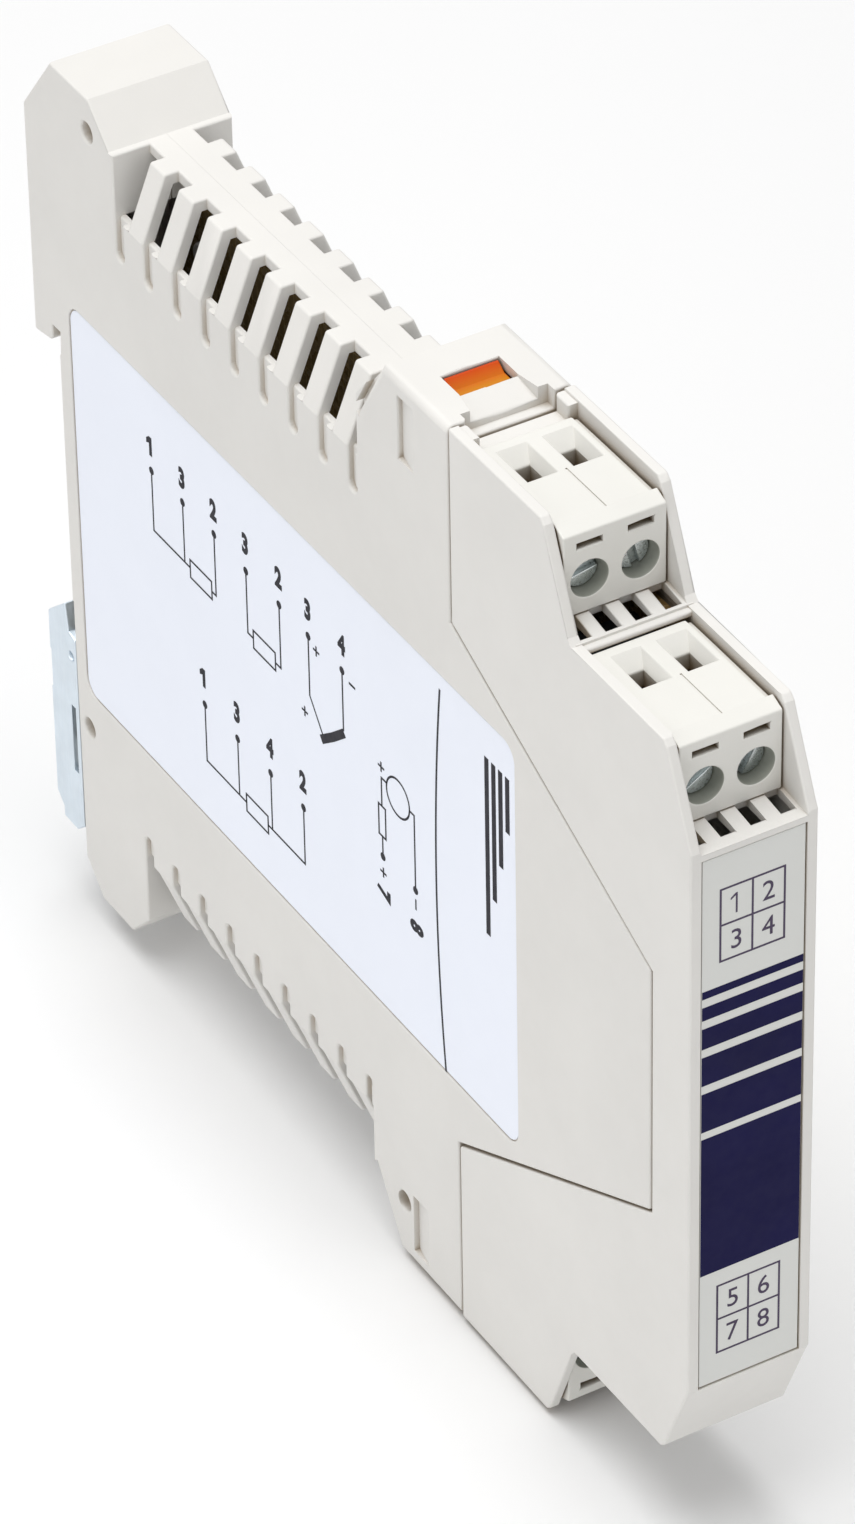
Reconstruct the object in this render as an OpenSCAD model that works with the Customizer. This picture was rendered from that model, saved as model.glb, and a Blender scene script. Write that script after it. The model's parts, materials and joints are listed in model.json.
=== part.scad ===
// Slim rail-mounted signal module: a two-shell base with louvred vents, a stepped front cover with
// pull-off screw terminals, a sprung metal rail foot and the circuit board inside.
// Frame: X across the module, -Y towards the front, +Z up. The origin is on the face that rests on
// the rail, half way between the rail's two edges and across the module.

/* [Housing] */
// Width across the module
housing_w = 12.5; // [12:0.1:14]
// Height over the upper and lower terminal levels
housing_h = 99; // [98:0.5:103]
// Depth from the back of the hook block to the front face
housing_d = 114.5; // [112:0.5:124]
// Wall of the two base shells
shell_wall = 1.2; // [1:0.1:1.4]
// Side wall of the front cover
cover_wall = 1.05; // [0.9:0.05:1.2]
// Depth of the front cover along its top edge
cover_d = 38.8; // [38:0.2:41]
// Gap left round the front cover where it meets the base
cover_gap = 0.25; // [0.15:0.05:0.3]
// Radius of the cover's long outer edges
cover_edge_r = 0.8; // [0.4:0.1:0.9]
// Distance of the seam between the base shells from the middle
seam_shift = 0.25; // [0.2:0.05:0.6]

/* [Vents] */
// Spacing of the vent slots
vent_pitch = 5.2; // [4.8:0.1:6]
// Length of one vent slot along the module
vent_slot = 2.5; // [2:0.1:3]
// Half width of the solid spine between the left and right slots
spine_half = 2.3; // [2:0.1:3]
// Height of the sloping strip that the slots cut through
vent_slope_h = 6.6; // [6:0.1:7.5]

/* [Rail] */
// Height of the mounting rail over its two edges
rail_h = 35; // [34.8:0.1:35.4]
// Thickness of the rail's edge
rail_edge_t = 1; // [0.8:0.1:1.2]
// Clearance between the rail's edge and the hook
rail_clear = 0.3; // [0.2:0.05:0.4]
// How far the hook block stands behind the rail face
hook_block_d = 4.8; // [4.2:0.1:5.4]
// How far the hook reaches down behind the rail's edge
hook_reach = 1.4; // [1:0.1:1.8]

/* [Rail foot] */
// Sheet thickness of the foot
foot_t = 1; // [0.8:0.1:1.2]
// Length of the slot that limits the foot's travel
foot_slot_l = 7.9; // [7:0.1:8.6]
// Length of the lug that runs in that slot
foot_lug_l = 3.2; // [2.8:0.1:3.6]
// Play between the lug and the ends of its slot
foot_play = 0.15; // [0.1:0.05:0.2]
// Outer radius of the foot spring
spring_r = 1.5; // [1.3:0.1:1.6]
// Radius of the foot spring's wire
spring_wire_r = 0.22; // [0.18:0.02:0.25]

/* [Terminals] */
// Spacing of the two poles of a terminal
pole_pitch = 5; // [4.8:0.05:5.08]
// Play of a terminal in its pocket, each side
plug_play = 0.15; // [0.1:0.05:0.2]
// Length of a terminal, front to back
plug_l = 14.2; // [14:0.1:15]
// Height of a terminal
plug_h = 8.8; // [8.5:0.1:8.9]
// Length of a wire entry at the outer face
entry_l = 5; // [4.4:0.1:5.2]
// Width of a wire entry
entry_w = 3; // [2.6:0.1:3.1]
// Radius of the terminal screw's shank
screw_r = 1.25; // [1.1:0.05:1.3]
// Radius of the terminal screw's head
screw_head_r = 1.7; // [1.6:0.05:1.75]
// Running clearance of a screw in its threaded cage, on the radius
screw_play = 0.05; // [0.03:0.01:0.08]
// Opening stroke of a clamp cage
cage_stroke = 1.8; // [1.5:0.1:1.9]
// Side of a square header pin
pin_side = 0.9; // [0.8:0.05:1]

/* [Board] */
// Thickness of the circuit board
board_t = 1.6; // [1.2:0.1:1.7]
// Gap between the board and the right shell
board_gap = 0.2; // [0.15:0.05:0.3]

/* [Labels] */
// Depth of the recess for the side label
side_recess = 0.3; // [0.25:0.05:0.4]
// Thickness of the side label
side_label_t = 0.15; // [0.1:0.01:0.2]
// Depth of the recess for the front label
front_recess = 0.5; // [0.4:0.05:0.6]
// Thickness of the front label
front_label_t = 0.4; // [0.3:0.05:0.5]

/* [Hidden] */
$fn = 32;

// One overrun for every cut, one small clearance between pieces that only rest together, and the
// run of an edge cutter past its corners
over = 0.5;
rest_gap = 0.1;
edge_run = 0.03;

// Main places of the housing
half_w = housing_w / 2;
half_h = housing_h / 2;
inner_w = half_w - shell_wall;
pocket_w = half_w - cover_wall;
rear_y = hook_block_d;
front_y = rear_y - housing_d;
joint_y = front_y + cover_d;
seam_x = -seam_shift;

// Hook block at the top of the base
block_drop = 1.9;
block_top_z = half_h - block_drop;
block_chamfer_d = 5.6;
block_chamfer_h = 7.2;
block_slope_d = 4.2;
block_slope_h = 4.4;
vent_start_y = -12.2;
block_front_y = vent_start_y + block_slope_d;
rail_edge_z = rail_h / 2;
notch_z = rail_edge_z + rail_clear;
hook_gap = rail_edge_t + rail_clear;
hook_z = notch_z - hook_reach;
hook_lip = 0.5;
seat_relief = 0.3;
seat_relief_h = 0.6;
seat_top_z = hook_z - hook_lip - seat_relief_h;
seat_low_gap = 1.5;

// Foot block at the bottom of the base
foot_block_drop = 2.8;
foot_block_z = -(half_h - foot_block_drop);
foot_block_chamfer = 3.4;
foot_block_front = 9.2;
foot_block_slope = 3.4;

// Vent zones between the blocks and the shoulders of the terminal levels
vent_drop = 5.6;
vent_drop_low = 7.4;
vent_top_z = half_h - vent_drop;
vent_low_z = half_h - vent_drop_low;
flat_half = 3.7;
shoulder_back = 15.3;
shoulder_y = joint_y + shoulder_back;
shoulder_run = 4.2;
shoulder_break = 0.5;
vent_start_low_y = -12.6;
vent_margin = 0.2;
groove_w = 1.5;
groove_h = 4.4;
groove_low_h = 2.8;
groove_d = 0.65;

// Tongue of the base's side walls that reaches forward between the cover's wings
tongue_root_z = 29;
tongue_tip_z = 13.2;
tongue_back = 6.3;
tongue_y = front_y + tongue_back;

// Grip dents, measured back from the shoulder and down from the top
dent_back = 7;
dent_l = 2.7;
dent_drop = 1.6;
dent_h = 6.6;
dent_d = 0.55;

// Snap pins that hold the shells together, as [y, z]
snap_r = 1;
snap_play = 0.05;
snap_boss_r = 1.9;
snap_sink = 1.6;
snap_top_y = -7.5;
snap_top_drop = 3.8;
snap_foot_y = -2.2;
snap_foot_z = -26.7;
snap_front_back = 5.3;
snap_front_up = 6.3;
snap_top = [snap_top_y, block_top_z - snap_top_drop];
snap_foot = [snap_foot_y, snap_foot_z];
snap_front = [shoulder_y - snap_front_back, snap_front_up - half_h];
SNAPS = [snap_top, snap_foot, snap_front];

// Release latches behind the terminals, and the finger ramp in front of each
window_half = 2.9;
window_l = 3.1;
window_front = 3.6;
window_y = joint_y + window_front;
latch_play = 0.2;
latch_sink = 0.85;
latch_rise = 0.65;
latch_flat = 1.5;
latch_collar = 0.4;
latch_h = 3.4;
latch_leg_t = 1.1;
latch_leg_h = 3.2;
finger_half = 2.8;
finger_spread = 0.8;
finger_drop = 1.9;
finger_rim = 0.25;
front_web_h = 2.9;
mouth_half = 4.3;
mouth_l = 1;

// Terminal levels of the cover
level_drop = 10.5;
level_z = half_h - level_drop;
upper_back = 23.7;
upper_y = front_y + upper_back;
level_slant = 4.3;
level_break = 0.6;
nose_slant = 3.8;
nose_h = 9.4;
nose_z = level_z - nose_h;
web_t = 0.9;
shelf_fall = 0.4;
shelf_lip_l = 0.65;
shelf_lip_step = 0.25;
recess_z = half_h - 2 * cover_wall + rest_gap;
pocket_rear = 2.4;
cheek_drop = 0.3;
pocket_y = joint_y - pocket_rear;
level_step_y = 18.1;
comb_slots = 4;
comb_pitch = 2.94;
comb_shift = -0.3;
comb_w = 1.5;
comb_l = 2.6;

// Terminals: where the outer front edge of the upper ones lies
plug_sink = 1.1;
plug_top_z = half_h - plug_sink;
plug_back = 21.9;
plug_y = front_y + plug_back;
plug_half = pocket_w - plug_play;
plug_level_drop = 9.9;
plug_brow_l = 1.5;
plug_brow_h = 0.6;
plug_step_w = 0.8;
plug_step_h = 0.6;
plug_line_w = 0.2;
plug_line_d = 0.12;
plug_edge = 0.25;
shelf_z = plug_top_z - plug_h - rest_gap;
low_shelf_z = shelf_z - plug_level_drop;
ledge_l = level_step_y - plug_l - plug_play - shelf_lip_l;
axis_drop = 5.5;
entry_back = 7.9;
entry_in = 0.25;
entry_neck_l = 3.5;
entry_neck_w = 1.7;
entry_neck_h = 1.3;
head_play = 0.12;
head_sink = 1.5;
head_t = 0.8;
shank_play = 0.2;
slot_w = 0.75;
slot_d = 0.5;
SLOT_TURNS = [-10, 75, -31, -61, -50, -20];
test_w = 2.6;
test_h = 0.7;
test_drop = 1.85;
test_d = 3;
cage_half = 1.85;
cage_t = 0.8;
cage_half_h = 2.2;
cage_y = 4.8;
cage_l = 6.7;
chamber_play = 0.2;
chamber_top = axis_drop - cage_half_h - chamber_play;
chamber_end = 11.6;
bar_y = 6.8;
bar_half = 1.15;
bar_t = 0.6;
screw_tip_gap = 0.3;
bus_drop = 8.1;
leaf_gap = 0.05;
leaf_t = 0.3;
leaf_y = 11.75;
leaf_l = 1.7;
leaf_half_h = 0.9;
pin_hole = 1.5;

// Pin headers and their pins
header_l = 5.9;
header_h = 5.6;
header_gap = 0.3;
pin_reach = 2.2;

// Board outline: a main field between the vent zones, and a wider head behind the terminals
board_x = inner_w - board_gap;
board_face = board_x - board_t;
board_rear_y = -6;
board_edge_gap = 0.3;
board_vent_gap = 0.4;
board_half_h = vent_low_z - vent_slope_h - board_vent_gap;
board_head_half_h = half_h - front_web_h - board_vent_gap;
board_head_back = 1.4;
board_head_y = joint_y + window_front + window_l + board_head_back - board_edge_gap;
board_neck_y = pocket_y + board_edge_gap;
board_nose_half_h = level_z - web_t - board_vent_gap;
board_corner = 3;
board_front_y = pocket_y - level_step_y + board_edge_gap;
board_l = board_rear_y - board_front_y;
post_r = 1.5;
post_play = 0.1;
post_h = 0.8;

// Places on the board as shares: of its length from the rear end, and of half its height from the middle
function spot(s) = [board_rear_y - s[0] * board_l, s[1] * board_half_h];
POST_SHARES = [[0.07, 0.845], [0.07, -0.845], [0.634, 0.917], [0.611, -0.888]];
POSTS = [for (s = POST_SHARES) spot(s)];

// Parts on the board, with [along y, along z, off the board] sizes
seat = 0.1;
TRANSFORMER = spot([0.411, -0.372]);
core_w = 13;
core_h = 12.4;
core_t = 4.6;
core_lift = 1.3;
core_leg = 3.4;
core_yoke = 2.3;
coil_play = 0.2;
coil_over = 1;
CONTROLLER = spot([0.247, 0.258]);
controller_side = 8;
controller_t = 1.2;
controller_leads = 9;
lead_w = 0.3;
lead_pitch = 0.75;
lead_reach = 0.8;
lead_t = 0.2;
SIGNAL_SHARES = [[0.458, 0.344], [0.635, 0.172], [0.658, -0.287]];
SIGNAL_CHIPS = [for (s = SIGNAL_SHARES) spot(s)];
signal_l = 4.9;
signal_w = 3.9;
signal_t = 1.4;
signal_leads = 4;
signal_pitch = 1.27;
CAPACITOR_SHARES = [[0.1175, -0.688], [0.212, -0.688], [0.799, 0.401], [0.799, -0.401]];
CAPACITORS = [for (s = CAPACITOR_SHARES) spot(s)];
capacitor_r = 3.1;
capacitor_h = 6.2;
capacitor_base = 6.6;
capacitor_base_t = 0.9;
INDUCTOR = spot([0.299, -0.702]);
inductor_side = 6;
inductor_t = 2.8;
inductor_r = 2.2;
inductor_rim = 0.5;
DIODE_SHARES = [[0.87, 0.745], [0.87, -0.745], [0.729, -0.86]];
DIODES = [for (s = DIODE_SHARES) spot(s)];
diode_l = 4.6;
diode_w = 3.6;
diode_t = 2.3;
diode_foot = 1;
diode_foot_w = 2;
diode_foot_t = 0.3;
RESISTOR_SHARES = [
  [0.353, 0.573], [0.388, 0.573], [0.423, 0.573], [0.505, 0.573], [0.541, 0.573], [0.576, 0.573],
  [0.552, 0.229], [0.552, 0.115], [0.552, -0.057], [0.552, -0.229], [0.552, -0.458], [0.552, -0.63],
  [0.165, 0.458], [0.165, 0.573], [0.212, 0.573], [0.094, 0.115], [0.094, 0], [0.094, -0.115],
  [0.705, 0.401], [0.705, 0.287], [0.705, -0.516], [0.917, 0.172], [0.917, 0.057], [0.917, -0.115]
];
RESISTORS = [for (s = RESISTOR_SHARES) spot(s)];
resistor_l = 1.6;
resistor_w = 0.8;
resistor_t = 0.5;
CRYSTAL = spot([0.353, 0.115]);
crystal_l = 4.6;
crystal_w = 3.2;
crystal_t = 1.2;

// Foot sizes, measured from the rail face and the rail's lower edge
foot_gap = 0;
foot_d = 5.3;
foot_nose_h = 3.1;
foot_nose_drop = 2.9;
foot_nose_gap = 0.35;
foot_nose_taper = 0.5;
foot_root_h = 4;
foot_bottom_z = -40.2;
foot_tab = 1.2;
foot_tab_in = 1.4;
foot_slot_top_z = -26.1;
foot_slot_y = 0.45;
foot_slot_w = 0.9;
foot_hole_r = 0.5;
foot_hole_y = 0.95;
foot_hole_z = -20.2;
foot_pull_half = 2.6;
foot_pull_w = 1.3;
foot_lug_sink = 0.5;
guide_gap = 0.2;
guide_end_gap = 0.5;
pocket_floor = 3;
spring_turns = 9;
spring_room = 0.35;
spring_seat = 0.3;
foot_travel = foot_slot_l - foot_lug_l - 2 * foot_play;
foot_nose_z = -rail_edge_z + foot_nose_h;
foot_root_z = -rail_edge_z - foot_root_h;
guide_top_z = foot_root_z - foot_travel - guide_end_gap;
guide_low_z = foot_bottom_z + guide_end_gap;
guide_half = half_w - foot_t - guide_gap;
guide_d = foot_d - foot_nose_gap - foot_t - guide_gap;
spring_y = guide_d / 2;
spring_low_z = guide_low_z + pocket_floor;

// Label outlines
side_label_rear = -2.1;
side_label_past = 10.5;
side_label_front = joint_y - side_label_past;
side_label_half = 22.3;
side_label_r = 1.9;
label_play = 0.15;
front_label_half = pocket_w - label_play;
front_rim = 0.6;
front_recess_top_z = low_shelf_z - shelf_fall - front_rim;

// Colours
shell_colour = [0.86, 0.85, 0.83];
label_colour = [0.92, 0.93, 0.97];
zinc_colour = [0.82, 0.86, 0.9];
orange_colour = [0.93, 0.5, 0.1];
brass_colour = [0.78, 0.62, 0.3];
board_colour = [0.1, 0.4, 0.22];
dark_colour = [0.12, 0.12, 0.13];

// Helpers: flat shapes drawn as [y, z] or [x, z], and blocks and rods given by their spans
module yz(x) {
  translate([x[0], 0, 0]) rotate([90, 0, 90]) linear_extrude(x[1] - x[0]) children();
}

module xz(y) {
  translate([0, y[1], 0]) rotate([90, 0, 0]) linear_extrude(y[1] - y[0]) children();
}

module block(x, y, z) {
  translate([x[0], y[0], z[0]]) cube([x[1] - x[0], y[1] - y[0], z[1] - z[0]]);
}

module x_rod(r, x, y, z) {
  translate([x[0], y, z]) rotate([0, 90, 0]) cylinder(r = r, h = x[1] - x[0]);
}

module y_rod(r, x, y, z) {
  translate([x, y[1], z]) rotate([90, 0, 0]) cylinder(r = r, h = y[1] - y[0]);
}

module z_rod(r, x, y, z) {
  translate([x, y, z[0]]) cylinder(r = r, h = z[1] - z[0]);
}

module both_sides() {
  children();
  mirror([1, 0, 0]) children();
}

module top_and_bottom() {
  children();
  mirror([0, 0, 1]) children();
}

// Side view of the base without its hook: the top edge first, then the front, then the bottom edge
function top_edge() = [
  [0, notch_z],
  [rear_y - block_chamfer_d, block_top_z],
  [block_front_y, block_top_z],
  [block_front_y - (block_top_z - vent_top_z) * block_slope_d / block_slope_h, vent_top_z],
  [shoulder_y, vent_top_z],
  [shoulder_y - shoulder_run, half_h - shoulder_break],
  [shoulder_y - shoulder_run - shoulder_break, half_h]
];

function bottom_edge() = [
  [shoulder_y - shoulder_run - 2 * shoulder_break, -half_h],
  [shoulder_y - shoulder_run - shoulder_break, shoulder_break - half_h],
  [shoulder_y, -vent_low_z],
  [vent_start_low_y, -vent_low_z],
  [vent_start_low_y, foot_block_z + foot_block_slope],
  [-foot_block_front, foot_block_z],
  [-foot_block_chamfer, foot_block_z],
  [0, foot_block_z + foot_block_chamfer]
];

// The shoulder's outer edge, which is rounded like the cover's
SHOULDER = [
  [shoulder_y, vent_low_z],
  [shoulder_y - shoulder_run - shoulder_break / 2, half_h],
  [joint_y - over, half_h]
];

function tongue_edge(gap) = [
  [joint_y - gap, tongue_root_z + gap],
  [tongue_y - gap, tongue_tip_z + gap / 2],
  [tongue_y - gap, -tongue_tip_z - gap / 2],
  [joint_y - gap, -tongue_root_z - gap]
];

module base_side() {
  polygon(concat(top_edge(), [[joint_y, half_h]], tongue_edge(0), [[joint_y, -half_h]], bottom_edge()));
  polygon([
    [-over, notch_z],
    [hook_gap, notch_z],
    [hook_gap, hook_z],
    [hook_gap + hook_lip, hook_z - hook_lip],
    [rear_y, hook_z - 2 * hook_lip],
    [rear_y, block_top_z - block_chamfer_h],
    [rear_y - block_chamfer_d, block_top_z],
    [rear_y - block_chamfer_d - over, block_top_z]
  ]);
}

// The same side view run straight out of the front, so that its inset leaves the front open
module base_hollow_side() {
  open_y = tongue_y - 3 * shell_wall;
  offset(delta = -shell_wall)
    polygon(concat(top_edge(), [[open_y, half_h], [open_y, -half_h]], bottom_edge()));
}

// What lies outside the sloping strip of a vent zone, moved inwards by a wall
module slope_side(top_z, wall) {
  slope = (half_w - flat_half) / vent_slope_h;
  shift = wall * sqrt(1 + slope * slope);
  low_z = top_z - vent_slope_h;
  polygon([
    [flat_half - over * slope - shift, top_z + over],
    [half_w - shift, low_z],
    [half_w + over, low_z],
    [half_w + over, top_z + over]
  ]);
}

module vent_slopes(wall) {
  both_sides() {
    xz([shoulder_y, vent_start_y]) slope_side(vent_top_z, wall);
    mirror([0, 0, 1]) xz([shoulder_y, vent_start_low_y]) slope_side(vent_low_z, wall);
  }
}

// One row of slots through the sloping strip, each with a groove that runs on down the flat side
module vent_row(start_y, top_z, side_h) {
  slot_z = top_z - vent_slope_h;
  count = floor((start_y - shoulder_y) / vent_pitch) + 1;
  for (k = [0 : count - 1]) {
    y = start_y - k * vent_pitch;
    end_y = max(y - vent_slot, shoulder_y + vent_margin);
    r = min(groove_w, y - end_y) / 2;
    both_sides() {
      block([spine_half, half_w + over], [end_y, y], [slot_z, top_z + over]);
      block([half_w - groove_d, half_w + over], [y - 2 * r, y], [slot_z - side_h + r, slot_z + over]);
      x_rod(r, [half_w - groove_d, half_w + over], y - r, slot_z - side_h + r);
    }
  }
}

// Walls that close the two end blocks off from the vents
module end_walls() {
  block([-half_w, half_w], [vent_start_y, vent_start_y + shell_wall], [vent_top_z - vent_slope_h, half_h]);
  block([-half_w, half_w], [vent_start_low_y, vent_start_low_y + shell_wall],
    [-half_h, vent_slope_h - vent_low_z]);
}

// Shallow grip dents in the flat sides behind the cover
module grip_dents() {
  both_sides() top_and_bottom()
    translate([0, 0, half_h - dent_drop - dent_h]) linear_extrude(dent_h) polygon([
      [half_w - dent_d, shoulder_y - dent_back],
      [half_w + over, shoulder_y - dent_back],
      [half_w + over, shoulder_y - dent_back - dent_l],
      [half_w, shoulder_y - dent_back - dent_l]
    ]);
}

// Guide block behind the foot block: the rail foot rides over it, and its lugs limit the travel
module foot_guide() {
  lug_z = foot_slot_top_z - foot_slot_l + foot_play;
  block([-guide_half, guide_half], [-over, guide_d], [guide_low_z, guide_top_z]);
  both_sides()
    block([guide_half - over, half_w - foot_lug_sink],
      [foot_slot_y + foot_play, foot_slot_y + foot_slot_w - foot_play], [lug_z, lug_z + foot_lug_l]);
}

// Opening and finger ramp for the release latch at the top
module latch_opening() {
  block([-window_half, window_half], [window_y, window_y + window_l],
    [half_h - front_web_h - over, half_h + over]);
  wide = finger_half + finger_spread;
  intersection() {
    yz([-wide, wide]) polygon([
      [window_y + over, half_h - finger_rim],
      [window_y, half_h - finger_rim],
      [joint_y - over, half_h - finger_drop],
      [joint_y - over, half_h + over],
      [window_y + over, half_h + over]
    ]);
    translate([0, 0, half_h - finger_drop - over]) linear_extrude(finger_drop + 2 * over) polygon([
      [-wide, joint_y - over],
      [-finger_half, window_y + over],
      [finger_half, window_y + over],
      [wide, joint_y - over]
    ]);
  }
  block([-mouth_half, mouth_half], [joint_y - over, joint_y + mouth_l],
    [half_h - finger_drop, half_h + over]);
}

module base_solid() {
  difference() {
    yz([-half_w, half_w]) base_side();
    vent_slopes(0);
    difference() {
      yz([-inner_w, inner_w]) base_hollow_side();
      vent_slopes(shell_wall);
      for (p = SNAPS) x_rod(snap_boss_r, [-half_w, half_w], p[0], p[1]);
      top_and_bottom()
        block([-half_w, half_w], [joint_y, window_y], [half_h - front_web_h, half_h]);
      end_walls();
    }
    vent_row(vent_start_y, vent_top_z, groove_h);
    mirror([0, 0, 1]) vent_row(vent_start_low_y, vent_low_z, groove_low_h);
    grip_dents();
    top_and_bottom() latch_opening();
    block([-half_w - over, half_w + over], [-seat_relief, over], [seat_top_z, notch_z]);
    block([-half_w - over, half_w + over], [-seat_relief, over], [-half_h, foot_nose_z + seat_low_gap]);
    both_sides() top_and_bottom() for (i = [0 : len(SHOULDER) - 2]) edge_round(SHOULDER[i], SHOULDER[i + 1]);
    yz([-half_w - over, side_recess - half_w]) side_label_outline(0);
  }
  difference() {
    foot_guide();
    z_rod(spring_r + spring_room, 0, spring_y, [spring_low_z, guide_top_z + over]);
  }
}

module base_shell_left() {
  color(shell_colour) difference() {
    base_solid();
    block([seam_x, half_w + over], [front_y, rear_y + over], [-half_h - over, half_h + over]);
    for (p = SNAPS) x_rod(snap_r + snap_play, [-half_w - over, half_w], p[0], p[1]);
  }
}

module base_shell_right() {
  color(shell_colour) {
    difference() {
      base_solid();
      block([-half_w - over, seam_x], [front_y, rear_y + over], [-half_h - over, half_h + over]);
    }
    for (p = SNAPS) x_rod(snap_r, [snap_sink - half_w, seam_x + over], p[0], p[1]);
    for (p = POSTS) {
      x_rod(post_r, [board_face - post_h, half_w - over], p[0], p[1]);
      x_rod(post_r + post_h, [board_x, half_w - over], p[0], p[1]);
    }
  }
}

// Side label: a long rectangle with rounded corners
module side_label_outline(inset) {
  rear = side_label_rear - inset;
  front = side_label_front + inset;
  half = side_label_half - inset;
  r = side_label_r - inset;
  translate([front, r - half]) square([rear - front, 2 * (half - r)]);
  translate([front + r, -half]) square([rear - front - 2 * r, 2 * half]);
  for (y = [front + r, rear - r]) for (z = [r - half, half - r]) translate([y, z]) circle(r = r);
}

module side_label() {
  color(label_colour)
    yz([side_recess - half_w - side_label_t, side_recess - half_w]) side_label_outline(label_play);
}

// Front cover: the outer edge from the top rear corner round the front to the bottom rear corner
function cover_top_edge() = [
  [joint_y - cover_gap, half_h],
  [upper_y, half_h],
  [upper_y - level_break, half_h - level_break],
  [upper_y - level_slant, level_z + level_break],
  [upper_y - level_slant - level_break, level_z],
  [front_y + nose_slant + level_break, level_z],
  [front_y + nose_slant, level_z - level_break],
  [front_y + level_break / 2, nose_z + level_break],
  [front_y, nose_z]
];

function cover_low_edge() = [for (i = [len(cover_top_edge()) - 1 : -1 : 0])
  [cover_top_edge()[i][0], -cover_top_edge()[i][1]]];

module cover_side() {
  polygon(concat(cover_top_edge(), cover_low_edge(), [for (i = [3 : -1 : 0]) tongue_edge(cover_gap)[i]]));
}

// Cutter that rounds one outer edge of the side view, from p to q, and runs a little past both ends
module edge_round(p, q) {
  r = cover_edge_r;
  translate([0, p[0], p[1]]) rotate([atan2(q[1] - p[1], q[0] - p[0]), 0, 0]) rotate([-90, 0, 0])
    translate([0, 0, -edge_run]) linear_extrude(norm(q - p) + 2 * edge_run) difference() {
      translate([half_w - r, -r]) square(r + over);
      translate([half_w - r, -r]) circle(r = r);
    }
}

module cover_edges() {
  edge = concat(cover_top_edge(), cover_low_edge());
  for (i = [0 : len(edge) - 2]) edge_round(edge[i], edge[i + 1]);
}

// Shelf under a terminal, with the row of slots in its front ledge, which falls towards the front
module terminal_shelf(rear, top_z, plug_front) {
  ledge_y = plug_front - ledge_l;
  difference() {
    yz([-half_w + over, half_w - over]) polygon([
      [rear, top_z],
      [plug_front, top_z],
      [ledge_y, top_z - shelf_fall],
      [ledge_y, top_z - shelf_fall - web_t],
      [plug_front, top_z - web_t],
      [rear, top_z - web_t]
    ]);
    for (i = [0 : comb_slots - 1]) {
      x = comb_shift + (i - (comb_slots - 1) / 2) * comb_pitch;
      block([x - comb_w / 2, x + comb_w / 2], [plug_front - comb_l, plug_front + over],
        [top_z - shelf_fall - web_t - over, top_z + over]);
    }
  }
}

// Bridge behind an upper terminal: the floor in front of the finger ramp and its two cheeks
module cover_bridge() {
  difference() {
    block([-half_w + over, half_w - over], [pocket_y, joint_y - cover_gap],
      [recess_z - web_t, half_h - cheek_drop]);
    block([-mouth_half, mouth_half], [pocket_y - over, joint_y], [recess_z, half_h + over]);
  }
}

module cover_webs() {
  top_and_bottom() {
    cover_bridge();
    terminal_shelf(pocket_y, shelf_z, plug_y);
  }
  terminal_shelf(pocket_y - level_step_y, low_shelf_z, plug_y - level_step_y);
  ledge_z = shelf_z - shelf_fall;
  block([-half_w + over, half_w - over], [plug_y - ledge_l - shelf_lip_l, plug_y - ledge_l],
    [ledge_z - web_t, ledge_z - shelf_lip_step]);
  low = cover_low_edge();
  web_z = low_shelf_z - shelf_fall;
  yz([-half_w + over, half_w - over]) {
    polygon([
      [front_y, web_z],
      low[0], low[1], low[2], low[3],
      [upper_y - level_slant - level_break, low[3][1]],
      [upper_y - level_slant - level_break, low[3][1] + web_t],
      [low[3][0] - web_t / 2, low[3][1] + web_t],
      [low[1][0] + web_t, low[1][1] + web_t / 2],
      [front_y + web_t + front_recess, web_z]
    ]);
  }
}

module front_cover() {
  color(shell_colour) difference() {
    union() {
      both_sides() yz([pocket_w, half_w]) cover_side();
      cover_webs();
    }
    both_sides() cover_edges();
    block([-pocket_w, pocket_w], [front_y - over, front_y + front_recess], [-nose_z, front_recess_top_z]);
  }
}

module front_label() {
  color(label_colour) block([-front_label_half, front_label_half],
    [front_y + front_recess - front_label_t, front_y + front_recess],
    [label_play - nose_z, front_recess_top_z - label_play]);
}

// Rail foot: two cheeks, a back plate and a bottom plate folded from one sheet, with a wedge nose
module foot_side() {
  polygon([
    [foot_gap, foot_root_z + foot_root_h - foot_nose_gap],
    [hook_gap, -rail_edge_z],
    [hook_gap + foot_nose_taper, foot_nose_z],
    [foot_d, foot_nose_z - foot_nose_drop],
    [foot_d, foot_root_z],
    [foot_d - foot_nose_gap, foot_root_z - foot_nose_gap],
    [foot_d - foot_nose_gap, foot_slot_top_z],
    [foot_d, foot_slot_top_z - foot_nose_gap],
    [foot_d, foot_bottom_z + foot_tab],
    [foot_d - foot_tab, foot_bottom_z],
    [foot_d - foot_tab, foot_bottom_z - foot_tab],
    [foot_tab_in, foot_bottom_z - foot_tab],
    [foot_gap, foot_bottom_z]
  ]);
}

module rail_foot() {
  inner = half_w - foot_t;
  color(zinc_colour) difference() {
    yz([-half_w, half_w]) foot_side();
    block([-inner, inner], [-over, foot_d - foot_nose_gap - foot_t], [foot_bottom_z, foot_root_z]);
    both_sides() {
      block([inner - over, half_w + over], [foot_slot_y, foot_slot_y + foot_slot_w],
        [foot_slot_top_z - foot_slot_l, foot_slot_top_z]);
      x_rod(foot_hole_r, [inner, half_w + over], foot_hole_y, foot_hole_z);
    }
    block([-foot_pull_half, foot_pull_half], [spring_y - foot_pull_w / 2, spring_y + foot_pull_w / 2],
      [foot_bottom_z - foot_tab - over, foot_bottom_z + over]);
  }
}

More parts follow.
